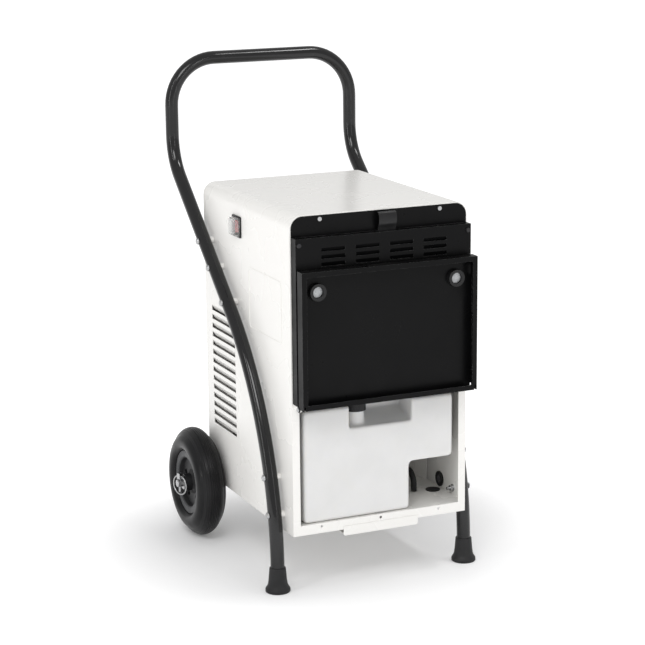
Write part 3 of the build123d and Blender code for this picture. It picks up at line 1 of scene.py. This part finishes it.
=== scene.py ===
"""Looks for the mobile commercial dehumidifier: enamelled cabinet, black tube frame, tyres and plastics.

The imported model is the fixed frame. This script gives every node a worked procedural finish, adds the
floor and the studio light, and places the camera. Lengths are in metres, in the model's own frame.
"""

import math

import bpy
from mathutils import Matrix, Vector


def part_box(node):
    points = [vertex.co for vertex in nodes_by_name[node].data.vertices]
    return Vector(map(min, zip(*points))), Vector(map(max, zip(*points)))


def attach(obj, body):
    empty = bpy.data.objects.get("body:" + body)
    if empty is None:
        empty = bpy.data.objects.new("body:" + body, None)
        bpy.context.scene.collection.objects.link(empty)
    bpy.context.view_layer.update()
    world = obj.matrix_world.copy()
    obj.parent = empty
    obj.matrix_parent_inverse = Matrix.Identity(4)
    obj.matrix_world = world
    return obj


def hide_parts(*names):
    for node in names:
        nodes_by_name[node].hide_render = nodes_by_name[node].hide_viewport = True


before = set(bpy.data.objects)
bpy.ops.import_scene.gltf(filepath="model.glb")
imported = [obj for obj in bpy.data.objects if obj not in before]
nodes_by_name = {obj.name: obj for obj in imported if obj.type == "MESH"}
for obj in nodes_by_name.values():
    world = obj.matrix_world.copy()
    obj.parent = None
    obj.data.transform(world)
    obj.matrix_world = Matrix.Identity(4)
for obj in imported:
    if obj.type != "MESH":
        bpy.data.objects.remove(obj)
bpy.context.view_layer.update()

MM = 0.001
NOISE_ROUGHNESS = 0.5
GLOSS_PATCH = 40.0  # the gloss drifts over patches this many times the size of the grain
CHIP_SIZE = 4.0 * MM
DUST_PATCH = 30.0 * MM
DUST_COLOUR = (0.45, 0.43, 0.4)
BEVEL_SAMPLES = 4


# ---------------------------------------------------------------- node building
class Finish:
    """One material under construction: its node tree, its main shader and short ways to add nodes."""

    def __init__(self, name, colour, roughness, metallic=0.0):
        self.material = bpy.data.materials.new(name)
        self.material.use_nodes = True
        self.tree = self.material.node_tree
        self.shader = self.tree.nodes["Principled BSDF"]
        self.shader.inputs["Metallic"].default_value = metallic
        self.place = self.add("ShaderNodeTexCoord").outputs["Object"]
        self.colour = colour
        self.roughness = roughness
        self.height = None
        self.normal = None

    def add(self, kind, **settings):
        """A new node with the given settings."""
        node = self.tree.nodes.new(kind)
        for key, value in settings.items():
            setattr(node, key, value)
        return node

    def feed(self, socket, value):
        """Links or sets a socket, whichever the value is."""
        if isinstance(value, bpy.types.NodeSocket):
            self.tree.links.new(value, socket)
        else:
            socket.default_value = value

    def math(self, operation, first, second=0.0, clamp=False):
        """Arithmetic on one or two values, held to 0..1 if clamp is set."""
        node = self.add("ShaderNodeMath", operation=operation, use_clamp=clamp)
        self.feed(node.inputs[0], first)
        self.feed(node.inputs[1], second)
        return node.outputs[0]

    def rescale(self, value, low, high, new_low=0.0, new_high=1.0):
        """Maps low..high smoothly to new_low..new_high, and holds the ends."""
        node = self.add("ShaderNodeMapRange", interpolation_type="SMOOTHSTEP")
        self.feed(node.inputs["Value"], value)
        ends = {"From Min": low, "From Max": high, "To Min": new_low, "To Max": new_high}
        for name, amount in ends.items():
            node.inputs[name].default_value = amount
        return node.outputs["Result"]

    def mix(self, amount, first, second):
        """A colour mix of first and second."""
        node = self.add("ShaderNodeMix", data_type="RGBA")
        self.feed(node.inputs["Factor"], amount)
        for index, value in ((6, first), (7, second)):
            self.feed(node.inputs[index], value if isinstance(value, bpy.types.NodeSocket) else (*value, 1.0))
        return node.outputs[2]

    def noise(self, size, detail=3.0, stretch=(1.0, 1.0, 1.0)):
        """Noise whose features are about size metres across, longer along an axis with a small stretch."""
        mapping = self.add("ShaderNodeMapping")
        self.feed(mapping.inputs["Vector"], self.place)
        mapping.inputs["Scale"].default_value = stretch
        node = self.add("ShaderNodeTexNoise")
        self.feed(node.inputs["Vector"], mapping.outputs[0])
        node.inputs["Scale"].default_value = 1.0 / size
        node.inputs["Detail"].default_value = detail
        node.inputs["Roughness"].default_value = NOISE_ROUGHNESS
        return node.outputs["Fac"]

    def bands(self, axis, period):
        """A sine wave from 0 to 1 along one axis."""
        node = self.add("ShaderNodeTexWave", wave_type="BANDS", bands_direction=axis)
        self.feed(node.inputs["Vector"], self.place)
        node.inputs["Scale"].default_value = math.tau / (20.0 * period)
        return node.outputs["Fac"]

    def from_axle(self, centre):
        """Distance from the axle that runs along X through the given centre."""
        parts = self.add("ShaderNodeSeparateXYZ")
        self.feed(parts.inputs[0], self.place)
        across = self.math("SUBTRACT", parts.outputs["Y"], centre.y)
        up = self.math("SUBTRACT", parts.outputs["Z"], centre.z)
        squares = self.math("ADD", self.math("MULTIPLY", across, across), self.math("MULTIPLY", up, up))
        return self.math("SQRT", squares)

    def mottle(self, size, amount, tint):
        """Slow drift of the colour towards a tint, over patches of the given size."""
        patches = self.rescale(self.noise(size, 4.0), 0.35, 0.7, 0.0, amount)
        self.colour = self.mix(patches, self.colour, tint)

    def grain(self, size, depth, gloss_drift=0.08, detail=3.0, stretch=(1.0, 1.0, 1.0)):
        """Fine surface texture in the bump, and a matching drift of the roughness."""
        fine = self.noise(size, detail, stretch)
        self.raise_by(self.math("MULTIPLY", fine, depth))
        slow = self.noise(size * GLOSS_PATCH, 3.0)
        drift = self.rescale(slow, 0.3, 0.7, -gloss_drift, gloss_drift)
        self.roughness = self.math("ADD", drift, self.roughness, clamp=True)

    def raise_by(self, height):
        """Adds a height in metres to the bump."""
        self.height = height if self.height is None else self.math("ADD", self.height, height)

    def edge_mask(self, width):
        """1 on edges and corners within width, broken up by noise, and 0 on open faces."""
        bevel = self.add("ShaderNodeBevel", samples=BEVEL_SAMPLES)
        bevel.inputs["Radius"].default_value = width
        geometry = self.add("ShaderNodeNewGeometry")
        dot = self.add("ShaderNodeVectorMath", operation="DOT_PRODUCT")
        self.feed(dot.inputs[0], bevel.outputs[0])
        self.feed(dot.inputs[1], geometry.outputs["Normal"])
        turned = self.math("SUBTRACT", 1.0, dot.outputs["Value"])
        chips = self.rescale(self.noise(CHIP_SIZE, 4.0), 0.35, 0.65)
        broken = self.math("MULTIPLY", turned, chips)
        return self.rescale(broken, 0.02, 0.2)

    def wear_and_edge_highlight(self, width, colour, amount=0.5, roughness=None):
        """Edges: the finish turns towards the given colour along them, as rubbed wear, and on the black
        enamel partly as a painted highlight.
        """
        mask = self.math("MULTIPLY", self.edge_mask(width), amount)
        self.colour = self.mix(mask, self.colour, colour)
        if roughness is not None:
            gap = self.math("SUBTRACT", roughness, self.roughness)
            self.roughness = self.math("ADD", self.roughness, self.math("MULTIPLY", mask, gap), clamp=True)

    def dust(self, amount):
        """A thin film of dust on faces that look upwards."""
        geometry = self.add("ShaderNodeNewGeometry")
        parts = self.add("ShaderNodeSeparateXYZ")
        self.feed(parts.inputs[0], geometry.outputs["Normal"])
        upward = self.rescale(parts.outputs["Z"], 0.3, 1.0)
        drifts = self.rescale(self.noise(DUST_PATCH, 6.0), 0.4, 0.75, 0.0, amount)
        film = self.math("MULTIPLY", upward, drifts)
        self.colour = self.mix(film, self.colour, DUST_COLOUR)

    def soften(self, radius):
        """Rounds the look of sharp edges by this radius."""
        bevel = self.add("ShaderNodeBevel", samples=BEVEL_SAMPLES)
        bevel.inputs["Radius"].default_value = radius
        self.normal = bevel.outputs[0]

    def done(self, **constants):
        """Wires everything to the shader. Constants go straight onto its sockets."""
        self.feed(self.shader.inputs["Base Color"], self.colour)
        self.feed(self.shader.inputs["Roughness"], self.roughness)
        if self.height is not None:
            bump = self.add("ShaderNodeBump")
            bump.inputs["Strength"].default_value = 1.0
            bump.inputs["Distance"].default_value = 1.0
            self.feed(bump.inputs["Height"], self.height)
            if self.normal is not None:
                self.feed(bump.inputs["Normal"], self.normal)
            self.normal = bump.outputs[0]
        if self.normal is not None:
            self.feed(self.shader.inputs["Normal"], self.normal)
        for name, value in constants.items():
            self.shader.inputs[name.replace("_", " ")].default_value = value
        return self.material


# ---------------------------------------------------------------- painted metal
def white_enamel():
    """Warm white powder coat: faint orange peel, edges a little thin and grey."""
    finish = Finish("white_enamel_finish", (0.80, 0.79, 0.765), 0.27)
    finish.mottle(0.30, 0.05, (0.745, 0.735, 0.70))
    finish.grain(2.5 * MM, 0.001 * MM, 0.02)
    finish.wear_and_edge_highlight(0.4 * MM, (0.60, 0.60, 0.58), 0.45, 0.4)
    finish.dust(0.008)
    return finish.done(Specular_IOR_Level=0.5)


def black_enamel():
    """Satin black powder coat with a fine sand texture, and lighter edges that are partly rubbed wear and
    partly a painted highlight where the edges catch the light.
    """
    finish = Finish("black_enamel_finish", (0.0030, 0.0030, 0.0032), 0.33)
    finish.mottle(0.12, 0.3, (0.0048, 0.0048, 0.005))
    finish.grain(0.9 * MM, 0.012 * MM, 0.06)
    # Lighter edges: partly rubbed wear, partly a painted highlight along the edges and the louvre lips.
    finish.wear_and_edge_highlight(0.6 * MM, (0.15, 0.15, 0.152), 0.8, 0.35)
    finish.dust(0.012)
    finish.soften(0.5 * MM)
    return finish.done(Specular_IOR_Level=0.10)


def black_tube():
    """Glossy black stove enamel on the bent tube: slight peel and handling marks along the tube."""
    finish = Finish("black_tube_finish", (0.0035, 0.0035, 0.0038), 0.13)
    finish.mottle(0.05, 0.3, (0.006, 0.006, 0.0063))
    finish.grain(2.2 * MM, 0.010 * MM, 0.06)
    rubs = finish.rescale(finish.noise(0.02, 6.0, (1.0, 1.0, 0.25)), 0.6, 0.8, 0.0, 0.16)
    finish.roughness = finish.math("ADD", finish.roughness, rubs, clamp=True)
    finish.dust(0.01)
    return finish.done(Specular_IOR_Level=0.45)


def compressor_black():
    """Thick stoved black paint on the compressor can and motor."""
    finish = Finish("compressor_black_finish", (0.014, 0.014, 0.015), 0.32)
    finish.mottle(0.06, 0.3, (0.028, 0.027, 0.026))
    finish.grain(3.0 * MM, 0.05 * MM, 0.08)
    finish.wear_and_edge_highlight(1.2 * MM, (0.08, 0.078, 0.075), 0.5, 0.5)
    finish.dust(0.25)
    return finish.done()


# ---------------------------------------------------------------- bare metal
def zinc_steel():
    """Bright zinc plate: cool steel with a faint yellow passivation and small handling scratches."""
    finish = Finish("zinc_steel_finish", (0.42, 0.425, 0.435), 0.28, 1.0)
    finish.mottle(0.006, 0.35, (0.36, 0.345, 0.31))
    finish.grain(0.5 * MM, 0.006 * MM, 0.1, 4.0, (1.0, 1.0, 0.15))
    finish.wear_and_edge_highlight(0.4 * MM, (0.52, 0.52, 0.53), 0.4, 0.2)
    finish.soften(0.35 * MM)
    return finish.done()


def black_screw():
    """Black-oxide screws, rubbed to steel on their edges."""
    finish = Finish("black_screw_finish", (0.035, 0.035, 0.038), 0.36, 0.8)
    finish.mottle(0.004, 0.4, (0.06, 0.055, 0.05))
    finish.grain(0.4 * MM, 0.005 * MM, 0.1)
    finish.wear_and_edge_highlight(0.4 * MM, (0.3, 0.3, 0.31), 0.7, 0.25)
    finish.soften(0.3 * MM)
    return finish.done()


def galvanised():
    """Galvanised sheet with its spangle."""
    finish = Finish("galvanised_finish", (0.55, 0.56, 0.57), 0.38, 0.9)
    spangle = finish.add("ShaderNodeTexVoronoi")
    finish.feed(spangle.inputs["Vector"], finish.place)
    spangle.inputs["Scale"].default_value = 1.0 / (9.0 * MM)
    grey = finish.add("ShaderNodeRGBToBW")
    finish.feed(grey.inputs[0], spangle.outputs["Color"])
    finish.colour = finish.mix(finish.rescale(grey.outputs[0], 0.2, 0.8), finish.colour, (0.70, 0.71, 0.72))
    finish.grain(0.8 * MM, 0.006 * MM, 0.1)
    finish.wear_and_edge_highlight(0.6 * MM, (0.75, 0.75, 0.75), 0.4, 0.3)
    finish.dust(0.15)
    return finish.done()


def fin_aluminium():
    """Mill-finish aluminium fins with a little oxide bloom."""
    finish = Finish("fin_aluminium_finish", (0.72, 0.73, 0.74), 0.34, 0.95)
    finish.mottle(0.03, 0.3, (0.5, 0.51, 0.52))
    finish.grain(0.5 * MM, 0.004 * MM, 0.08, 3.0, (1.0, 1.0, 0.1))
    finish.dust(0.2)
    return finish.done()


def capacitor_can():
    """Drawn aluminium can with draw lines along it."""
    finish = Finish("capacitor_can_finish", (0.68, 0.69, 0.70), 0.28, 1.0)
    finish.mottle(0.02, 0.3, (0.55, 0.56, 0.57))
    finish.grain(0.6 * MM, 0.006 * MM, 0.1, 4.0, (1.0, 0.1, 1.0))
    return finish.done()


def copper():
    """Drawn copper tube, browned in patches by brazing heat and handling."""
    finish = Finish("copper_finish", (0.70, 0.36, 0.22), 0.25, 1.0)
    finish.mottle(0.03, 0.7, (0.32, 0.14, 0.08))
    finish.grain(1.0 * MM, 0.008 * MM, 0.12)
    return finish.done()


def bush_bronze():
    """Oil-soaked sintered bronze: matt and full of fine pores."""
    finish = Finish("bush_bronze_finish", (0.44, 0.31, 0.17), 0.5, 0.9)
    finish.mottle(0.004, 0.5, (0.24, 0.16, 0.09))
    finish.grain(0.3 * MM, 0.03 * MM, 0.1)
    return finish.done()


# ---------------------------------------------------------------- rubber and plastics
def rubber_black():
    """Matt moulded rubber with a pale bloom and scuffed edges."""
    finish = Finish("rubber_black_finish", (0.014, 0.014, 0.0145), 0.56)
    finish.mottle(0.02, 0.4, (0.024, 0.024, 0.025))
    finish.grain(0.7 * MM, 0.03 * MM, 0.08)
    finish.wear_and_edge_highlight(1.2 * MM, (0.07, 0.07, 0.07), 0.5, 0.75)
    finish.dust(0.06)
    finish.soften(0.8 * MM)
    return finish.done(Specular_IOR_Level=0.3)


RIB_PITCH = 3.4 * MM
RIB_HEIGHT = 0.35 * MM


def tyre_rubber():
    """Tyre: fine ribs run round the tread, and the side walls carry a satin moulding skin."""
    finish = Finish("tyre_rubber_finish", (0.0060, 0.0060, 0.0066), 0.34)
    finish.mottle(0.03, 0.4, (0.010, 0.010, 0.011))
    finish.grain(0.8 * MM, 0.02 * MM, 0.06)
    low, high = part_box("tyre_left")
    radius = (high.z - low.z) / 2.0
    from_axle = finish.from_axle((low + high) / 2.0)
    on_tread = finish.rescale(from_axle, radius - 14.0 * MM, radius - 8.0 * MM)
    ribs = finish.math("MULTIPLY", finish.bands("X", RIB_PITCH), on_tread)
    finish.raise_by(finish.math("MULTIPLY", ribs, RIB_HEIGHT))
    # The hollows between the ribs are painted darker: painted shade in the grooves.
    hollow_shade = finish.math("MULTIPLY", finish.math("SUBTRACT", 1.0, finish.bands("X", RIB_PITCH)), on_tread)
    finish.colour = finish.mix(finish.math("MULTIPLY", hollow_shade, 0.5), finish.colour, (0.006, 0.006, 0.0065))
    finish.dust(0.012)
    return finish.done(Specular_IOR_Level=0.20)


def rim_grey():
    """Dark grey moulded rim with a fine spark-eroded texture, and a paler flange round its outside."""
    finish = Finish("rim_grey_finish", (0.010, 0.010, 0.011), 0.46)
    finish.mottle(0.02, 0.3, (0.016, 0.016, 0.017))
    low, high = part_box("rim_left")
    rim_radius = (high.z - low.z) / 2.0
    from_axle = finish.from_axle((low + high) / 2.0)
    pale_flange = finish.rescale(from_axle, rim_radius - 14.5 * MM, rim_radius - 13.5 * MM)
    finish.colour = finish.mix(pale_flange, finish.colour, (0.052, 0.053, 0.056))
    finish.grain(0.6 * MM, 0.02 * MM, 0.06)
    finish.wear_and_edge_highlight(0.9 * MM, (0.10, 0.10, 0.105), 0.5, 0.55)
    finish.soften(0.8 * MM)
    return finish.done(Specular_IOR_Level=0.3)


def black_plastic():
    """Satin black moulding with a light leather grain."""
    finish = Finish("black_plastic_finish", (0.0075, 0.0075, 0.008), 0.36)
    finish.mottle(0.03, 0.3, (0.013, 0.013, 0.0135))
    finish.grain(0.7 * MM, 0.02 * MM, 0.07)
    finish.wear_and_edge_highlight(0.7 * MM, (0.08, 0.08, 0.08), 0.5, 0.5)
    finish.dust(0.02)
    finish.soften(0.5 * MM)
    return finish.done(Specular_IOR_Level=0.3)


def grey_plastic():
    """Mid-grey moulding."""
    finish = Finish("grey_plastic_finish", (0.30, 0.31, 0.32), 0.42)
    finish.mottle(0.03, 0.3, (0.24, 0.25, 0.26))
    finish.grain(0.7 * MM, 0.02 * MM, 0.07)
    finish.wear_and_edge_highlight(0.7 * MM, (0.45, 0.46, 0.47), 0.4, 0.5)
    finish.soften(0.5 * MM)
    return finish.done()


def magnet_grey():
    """Pale satin buttons with light scuffs from shutting."""
    finish = Finish("magnet_grey_finish", (0.43, 0.44, 0.45), 0.34, 0.3)
    finish.mottle(0.004, 0.5, (0.30, 0.31, 0.32))
    finish.grain(0.5 * MM, 0.015 * MM, 0.1)
    finish.wear_and_edge_highlight(0.6 * MM, (0.75, 0.75, 0.76), 0.5, 0.3)
    finish.soften(0.5 * MM)
    return finish.done()


def tank_polythene():
    """Natural polythene blow moulding: milky, waxy and a little see-through at its edges."""
    finish = Finish("tank_polythene_finish", (0.745, 0.735, 0.715), 0.36)
    finish.mottle(0.06, 0.25, (0.63, 0.625, 0.60))
    finish.grain(1.4 * MM, 0.03 * MM, 0.07)
    sag = finish.noise(0.05, 2.0)
    finish.raise_by(finish.math("MULTIPLY", sag, 0.5 * MM))
    finish.wear_and_edge_highlight(1.5 * MM, (0.80, 0.80, 0.785), 0.3, 0.45)
    finish.soften(3.5 * MM)
    return finish.done(
        Subsurface_Weight=0.35, Subsurface_Radius=(0.012, 0.011, 0.009), Subsurface_Scale=1.0
    )


def switch_red():
    """Clear red rocker of a lit mains switch."""
    finish = Finish("switch_red_finish", (0.50, 0.012, 0.02), 0.18)
    finish.mottle(0.006, 0.4, (0.30, 0.006, 0.012))
    finish.grain(0.5 * MM, 0.006 * MM, 0.05)
    finish.soften(0.6 * MM)
    return finish.done(Coat_Weight=0.5, Coat_Roughness=0.06)


def clear_boot():
    """Clear flexible cover over the switch, with faint moulding waves."""
    finish = Finish("clear_boot_finish", (0.94, 0.945, 0.94), 0.12)
    finish.mottle(0.008, 0.2, (0.85, 0.86, 0.85))
    finish.grain(2.5 * MM, 0.05 * MM, 0.05)
    finish.soften(0.8 * MM)
    return finish.done(Transmission_Weight=0.92, IOR=1.42)


def filter_net():
    """Plain-woven black plastic net: threads show in the bump and the colour, and the gaps between them are
    painted darker as painted shade in the openings.
    """
    finish = Finish("filter_net_finish", (0.030, 0.030, 0.031), 0.55)
    threads = finish.math("MAXIMUM", finish.bands("X", 1.5 * MM), finish.bands("Z", 1.5 * MM))
    # Gaps between the threads are painted near black: painted shade in the openings of the weave.
    finish.colour = finish.mix(finish.rescale(threads, 0.35, 0.8), (0.006, 0.006, 0.006), finish.colour)
    finish.raise_by(finish.math("MULTIPLY", threads, 0.25 * MM))
    finish.grain(0.4 * MM, 0.01 * MM, 0.05)
    finish.dust(0.1)
    return finish.done()


# ---------------------------------------------------------------- finishes onto nodes
FINISHES = {
    maker.__name__: maker
    for maker in (
        white_enamel, black_enamel, black_tube, rubber_black, black_plastic, filter_net, zinc_steel,
        black_screw, tyre_rubber, rim_grey, bush_bronze, magnet_grey, tank_polythene, grey_plastic,
        fin_aluminium, copper, compressor_black, galvanised, capacitor_can, switch_red, clear_boot,
    )
}
made = {}
for node in nodes_by_name.values():
    for index, old in enumerate(node.data.materials):
        slot = old.name.split(".")[0]
        if slot not in made:
            made[slot] = FINISHES[slot]()
        node.data.materials[index] = made[slot]


# ---------------------------------------------------------------- blow-moulded tank
TANK_VOXEL = 1.4 * MM
TANK_SMOOTHING = 36


def soft_tank():
    """The water tank as a blow moulding: the same walls, with every corner and the hand recess drawn soft."""
    source = nodes_by_name["water_tank"]
    piece = bpy.data.objects.new("water_tank_moulding", source.data.copy())
    bpy.context.scene.collection.objects.link(piece)
    remesh = piece.modifiers.new("even_skin", "REMESH")
    remesh.mode = "VOXEL"
    remesh.voxel_size = TANK_VOXEL
    remesh.use_smooth_shade = True
    relax = piece.modifiers.new("soft_corners", "SMOOTH")
    relax.factor = 0.5
    relax.iterations = TANK_SMOOTHING
    depsgraph = bpy.context.evaluated_depsgraph_get()
    moulded = bpy.data.meshes.new_from_object(piece.evaluated_get(depsgraph))
    piece.modifiers.clear()
    piece.data = moulded
    moulded.materials.clear()
    moulded.materials.append(made["tank_polythene"])
    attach(piece, "tank")
    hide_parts("water_tank")


soft_tank()


# ---------------------------------------------------------------- floor and light
FLOOR_HALF = 40.0
GLOW_START = 0.22
GLOW_FULL = 0.64
GLOW_NEAR = 0.08
GLOW_FAR = 0.52
ROOM_BRIGHTNESS = 0.68


def studio_floor():
    """A wide pale floor, with the faint unevenness of painted board and a painted glow of its own."""
    mesh = bpy.data.meshes.new("studio_floor")
    corners = [(x * FLOOR_HALF, y * FLOOR_HALF, 0.0) for x, y in ((-1, -1), (1, -1), (1, 1), (-1, 1))]
    mesh.from_pydata(corners, [], [(0, 1, 2, 3)])
    floor = bpy.data.objects.new("studio_floor", mesh)
    bpy.context.scene.collection.objects.link(floor)
    finish = Finish("studio_floor_finish", (0.86, 0.86, 0.865), 0.6)
    finish.mottle(0.5, 0.1, (0.84, 0.84, 0.845))
    finish.grain(1.5 * MM, 0.02 * MM, 0.04)
    # The floor glows as painted light, dim near the machine and bright away from it, so that it stays white
    # out to the horizon while the shadow under the machine stays dark.
    parts = finish.add("ShaderNodeSeparateXYZ")
    finish.feed(parts.inputs[0], finish.place)
    flat = finish.add("ShaderNodeCombineXYZ")
    finish.feed(flat.inputs[0], parts.outputs["X"])
    finish.feed(flat.inputs[1], parts.outputs["Y"])
    reach = finish.add("ShaderNodeVectorMath", operation="LENGTH")
    finish.feed(reach.inputs[0], flat.outputs[0])
    glow = finish.rescale(reach.outputs["Value"], GLOW_START, GLOW_FULL, GLOW_NEAR, GLOW_FAR)
    finish.feed(finish.shader.inputs["Emission Strength"], glow)
    mesh.materials.append(finish.done(Specular_IOR_Level=0.1, Emission_Color=(1.0, 1.0, 1.0, 1.0)))


def softbox(name, place, aim, size, power):
    """A rectangular area light that faces its aim. Size is (width, height) and power is in watts."""
    lamp = bpy.data.lights.new(name, "AREA")
    lamp.shape = "RECTANGLE"
    lamp.size, lamp.size_y = size
    lamp.energy = power
    lit = bpy.data.objects.new(name, lamp)
    lit.location = place
    lit.rotation_euler = (Vector(aim) - Vector(place)).to_track_quat("-Z", "Y").to_euler()
    bpy.context.scene.collection.objects.link(lit)


def studio_light():
    """An even bright room, a soft key from the front left, a light overhead, and two narrow strips for the
    long highlights on the tubes."""
    world = bpy.data.worlds.new("studio_world")
    world.use_nodes = True
    world.node_tree.nodes["Background"].inputs["Color"].default_value = (1.0, 1.0, 1.0, 1.0)
    world.node_tree.nodes["Background"].inputs["Strength"].default_value = ROOM_BRIGHTNESS
    bpy.context.scene.world = world
    middle = (0.0, 0.0, 0.45)
    softbox("key_light", (-1.6, -2.3, 3.0), middle, (1.3, 1.3), 34.0)
    softbox("left_strip", (-3.0, -1.0, 1.6), middle, (0.12, 2.6), 13.0)
    softbox("front_strip", (0.9, -4.2, 1.5), middle, (0.12, 2.6), 9.0)
    softbox("top_light", (1.2, -0.7, 3.1), middle, (0.9, 0.4), 16.0)


studio_floor()
studio_light()


# ---------------------------------------------------------------- camera
CAMERA_PLACE = (-1.46844, -3.30896, 1.27669)
CAMERA_YAW = -0.4175
CAMERA_PITCH = 0.2303
CAMERA_ROLL = -0.0105
CAMERA_LENS = 111.18
SENSOR_WIDTH = 36.0
VIEW_REACH = 200.0


def place_camera():
    """Three-quarter view from the front left and a little above, through a long lens."""
    yaw, pitch, roll = CAMERA_YAW, CAMERA_PITCH, CAMERA_ROLL
    right = Vector((math.cos(yaw), math.sin(yaw), 0.0))
    ahead = Vector((-math.sin(yaw) * math.cos(pitch), math.cos(yaw) * math.cos(pitch), -math.sin(pitch)))
    up = right.cross(ahead)
    turned_right = math.cos(roll) * right + math.sin(roll) * up
    turned_up = -math.sin(roll) * right + math.cos(roll) * up
    lens = bpy.data.cameras.new("main_camera")
    lens.lens = CAMERA_LENS
    lens.sensor_width = SENSOR_WIDTH
    lens.clip_end = VIEW_REACH
    camera = bpy.data.objects.new("main_camera", lens)
    turn = Matrix((turned_right, turned_up, -ahead)).transposed()
    camera.matrix_world = Matrix.Translation(CAMERA_PLACE) @ turn.to_4x4()
    bpy.context.scene.collection.objects.link(camera)
    bpy.context.scene.camera = camera


place_camera()
bpy.context.scene.view_settings.view_transform = "Standard"
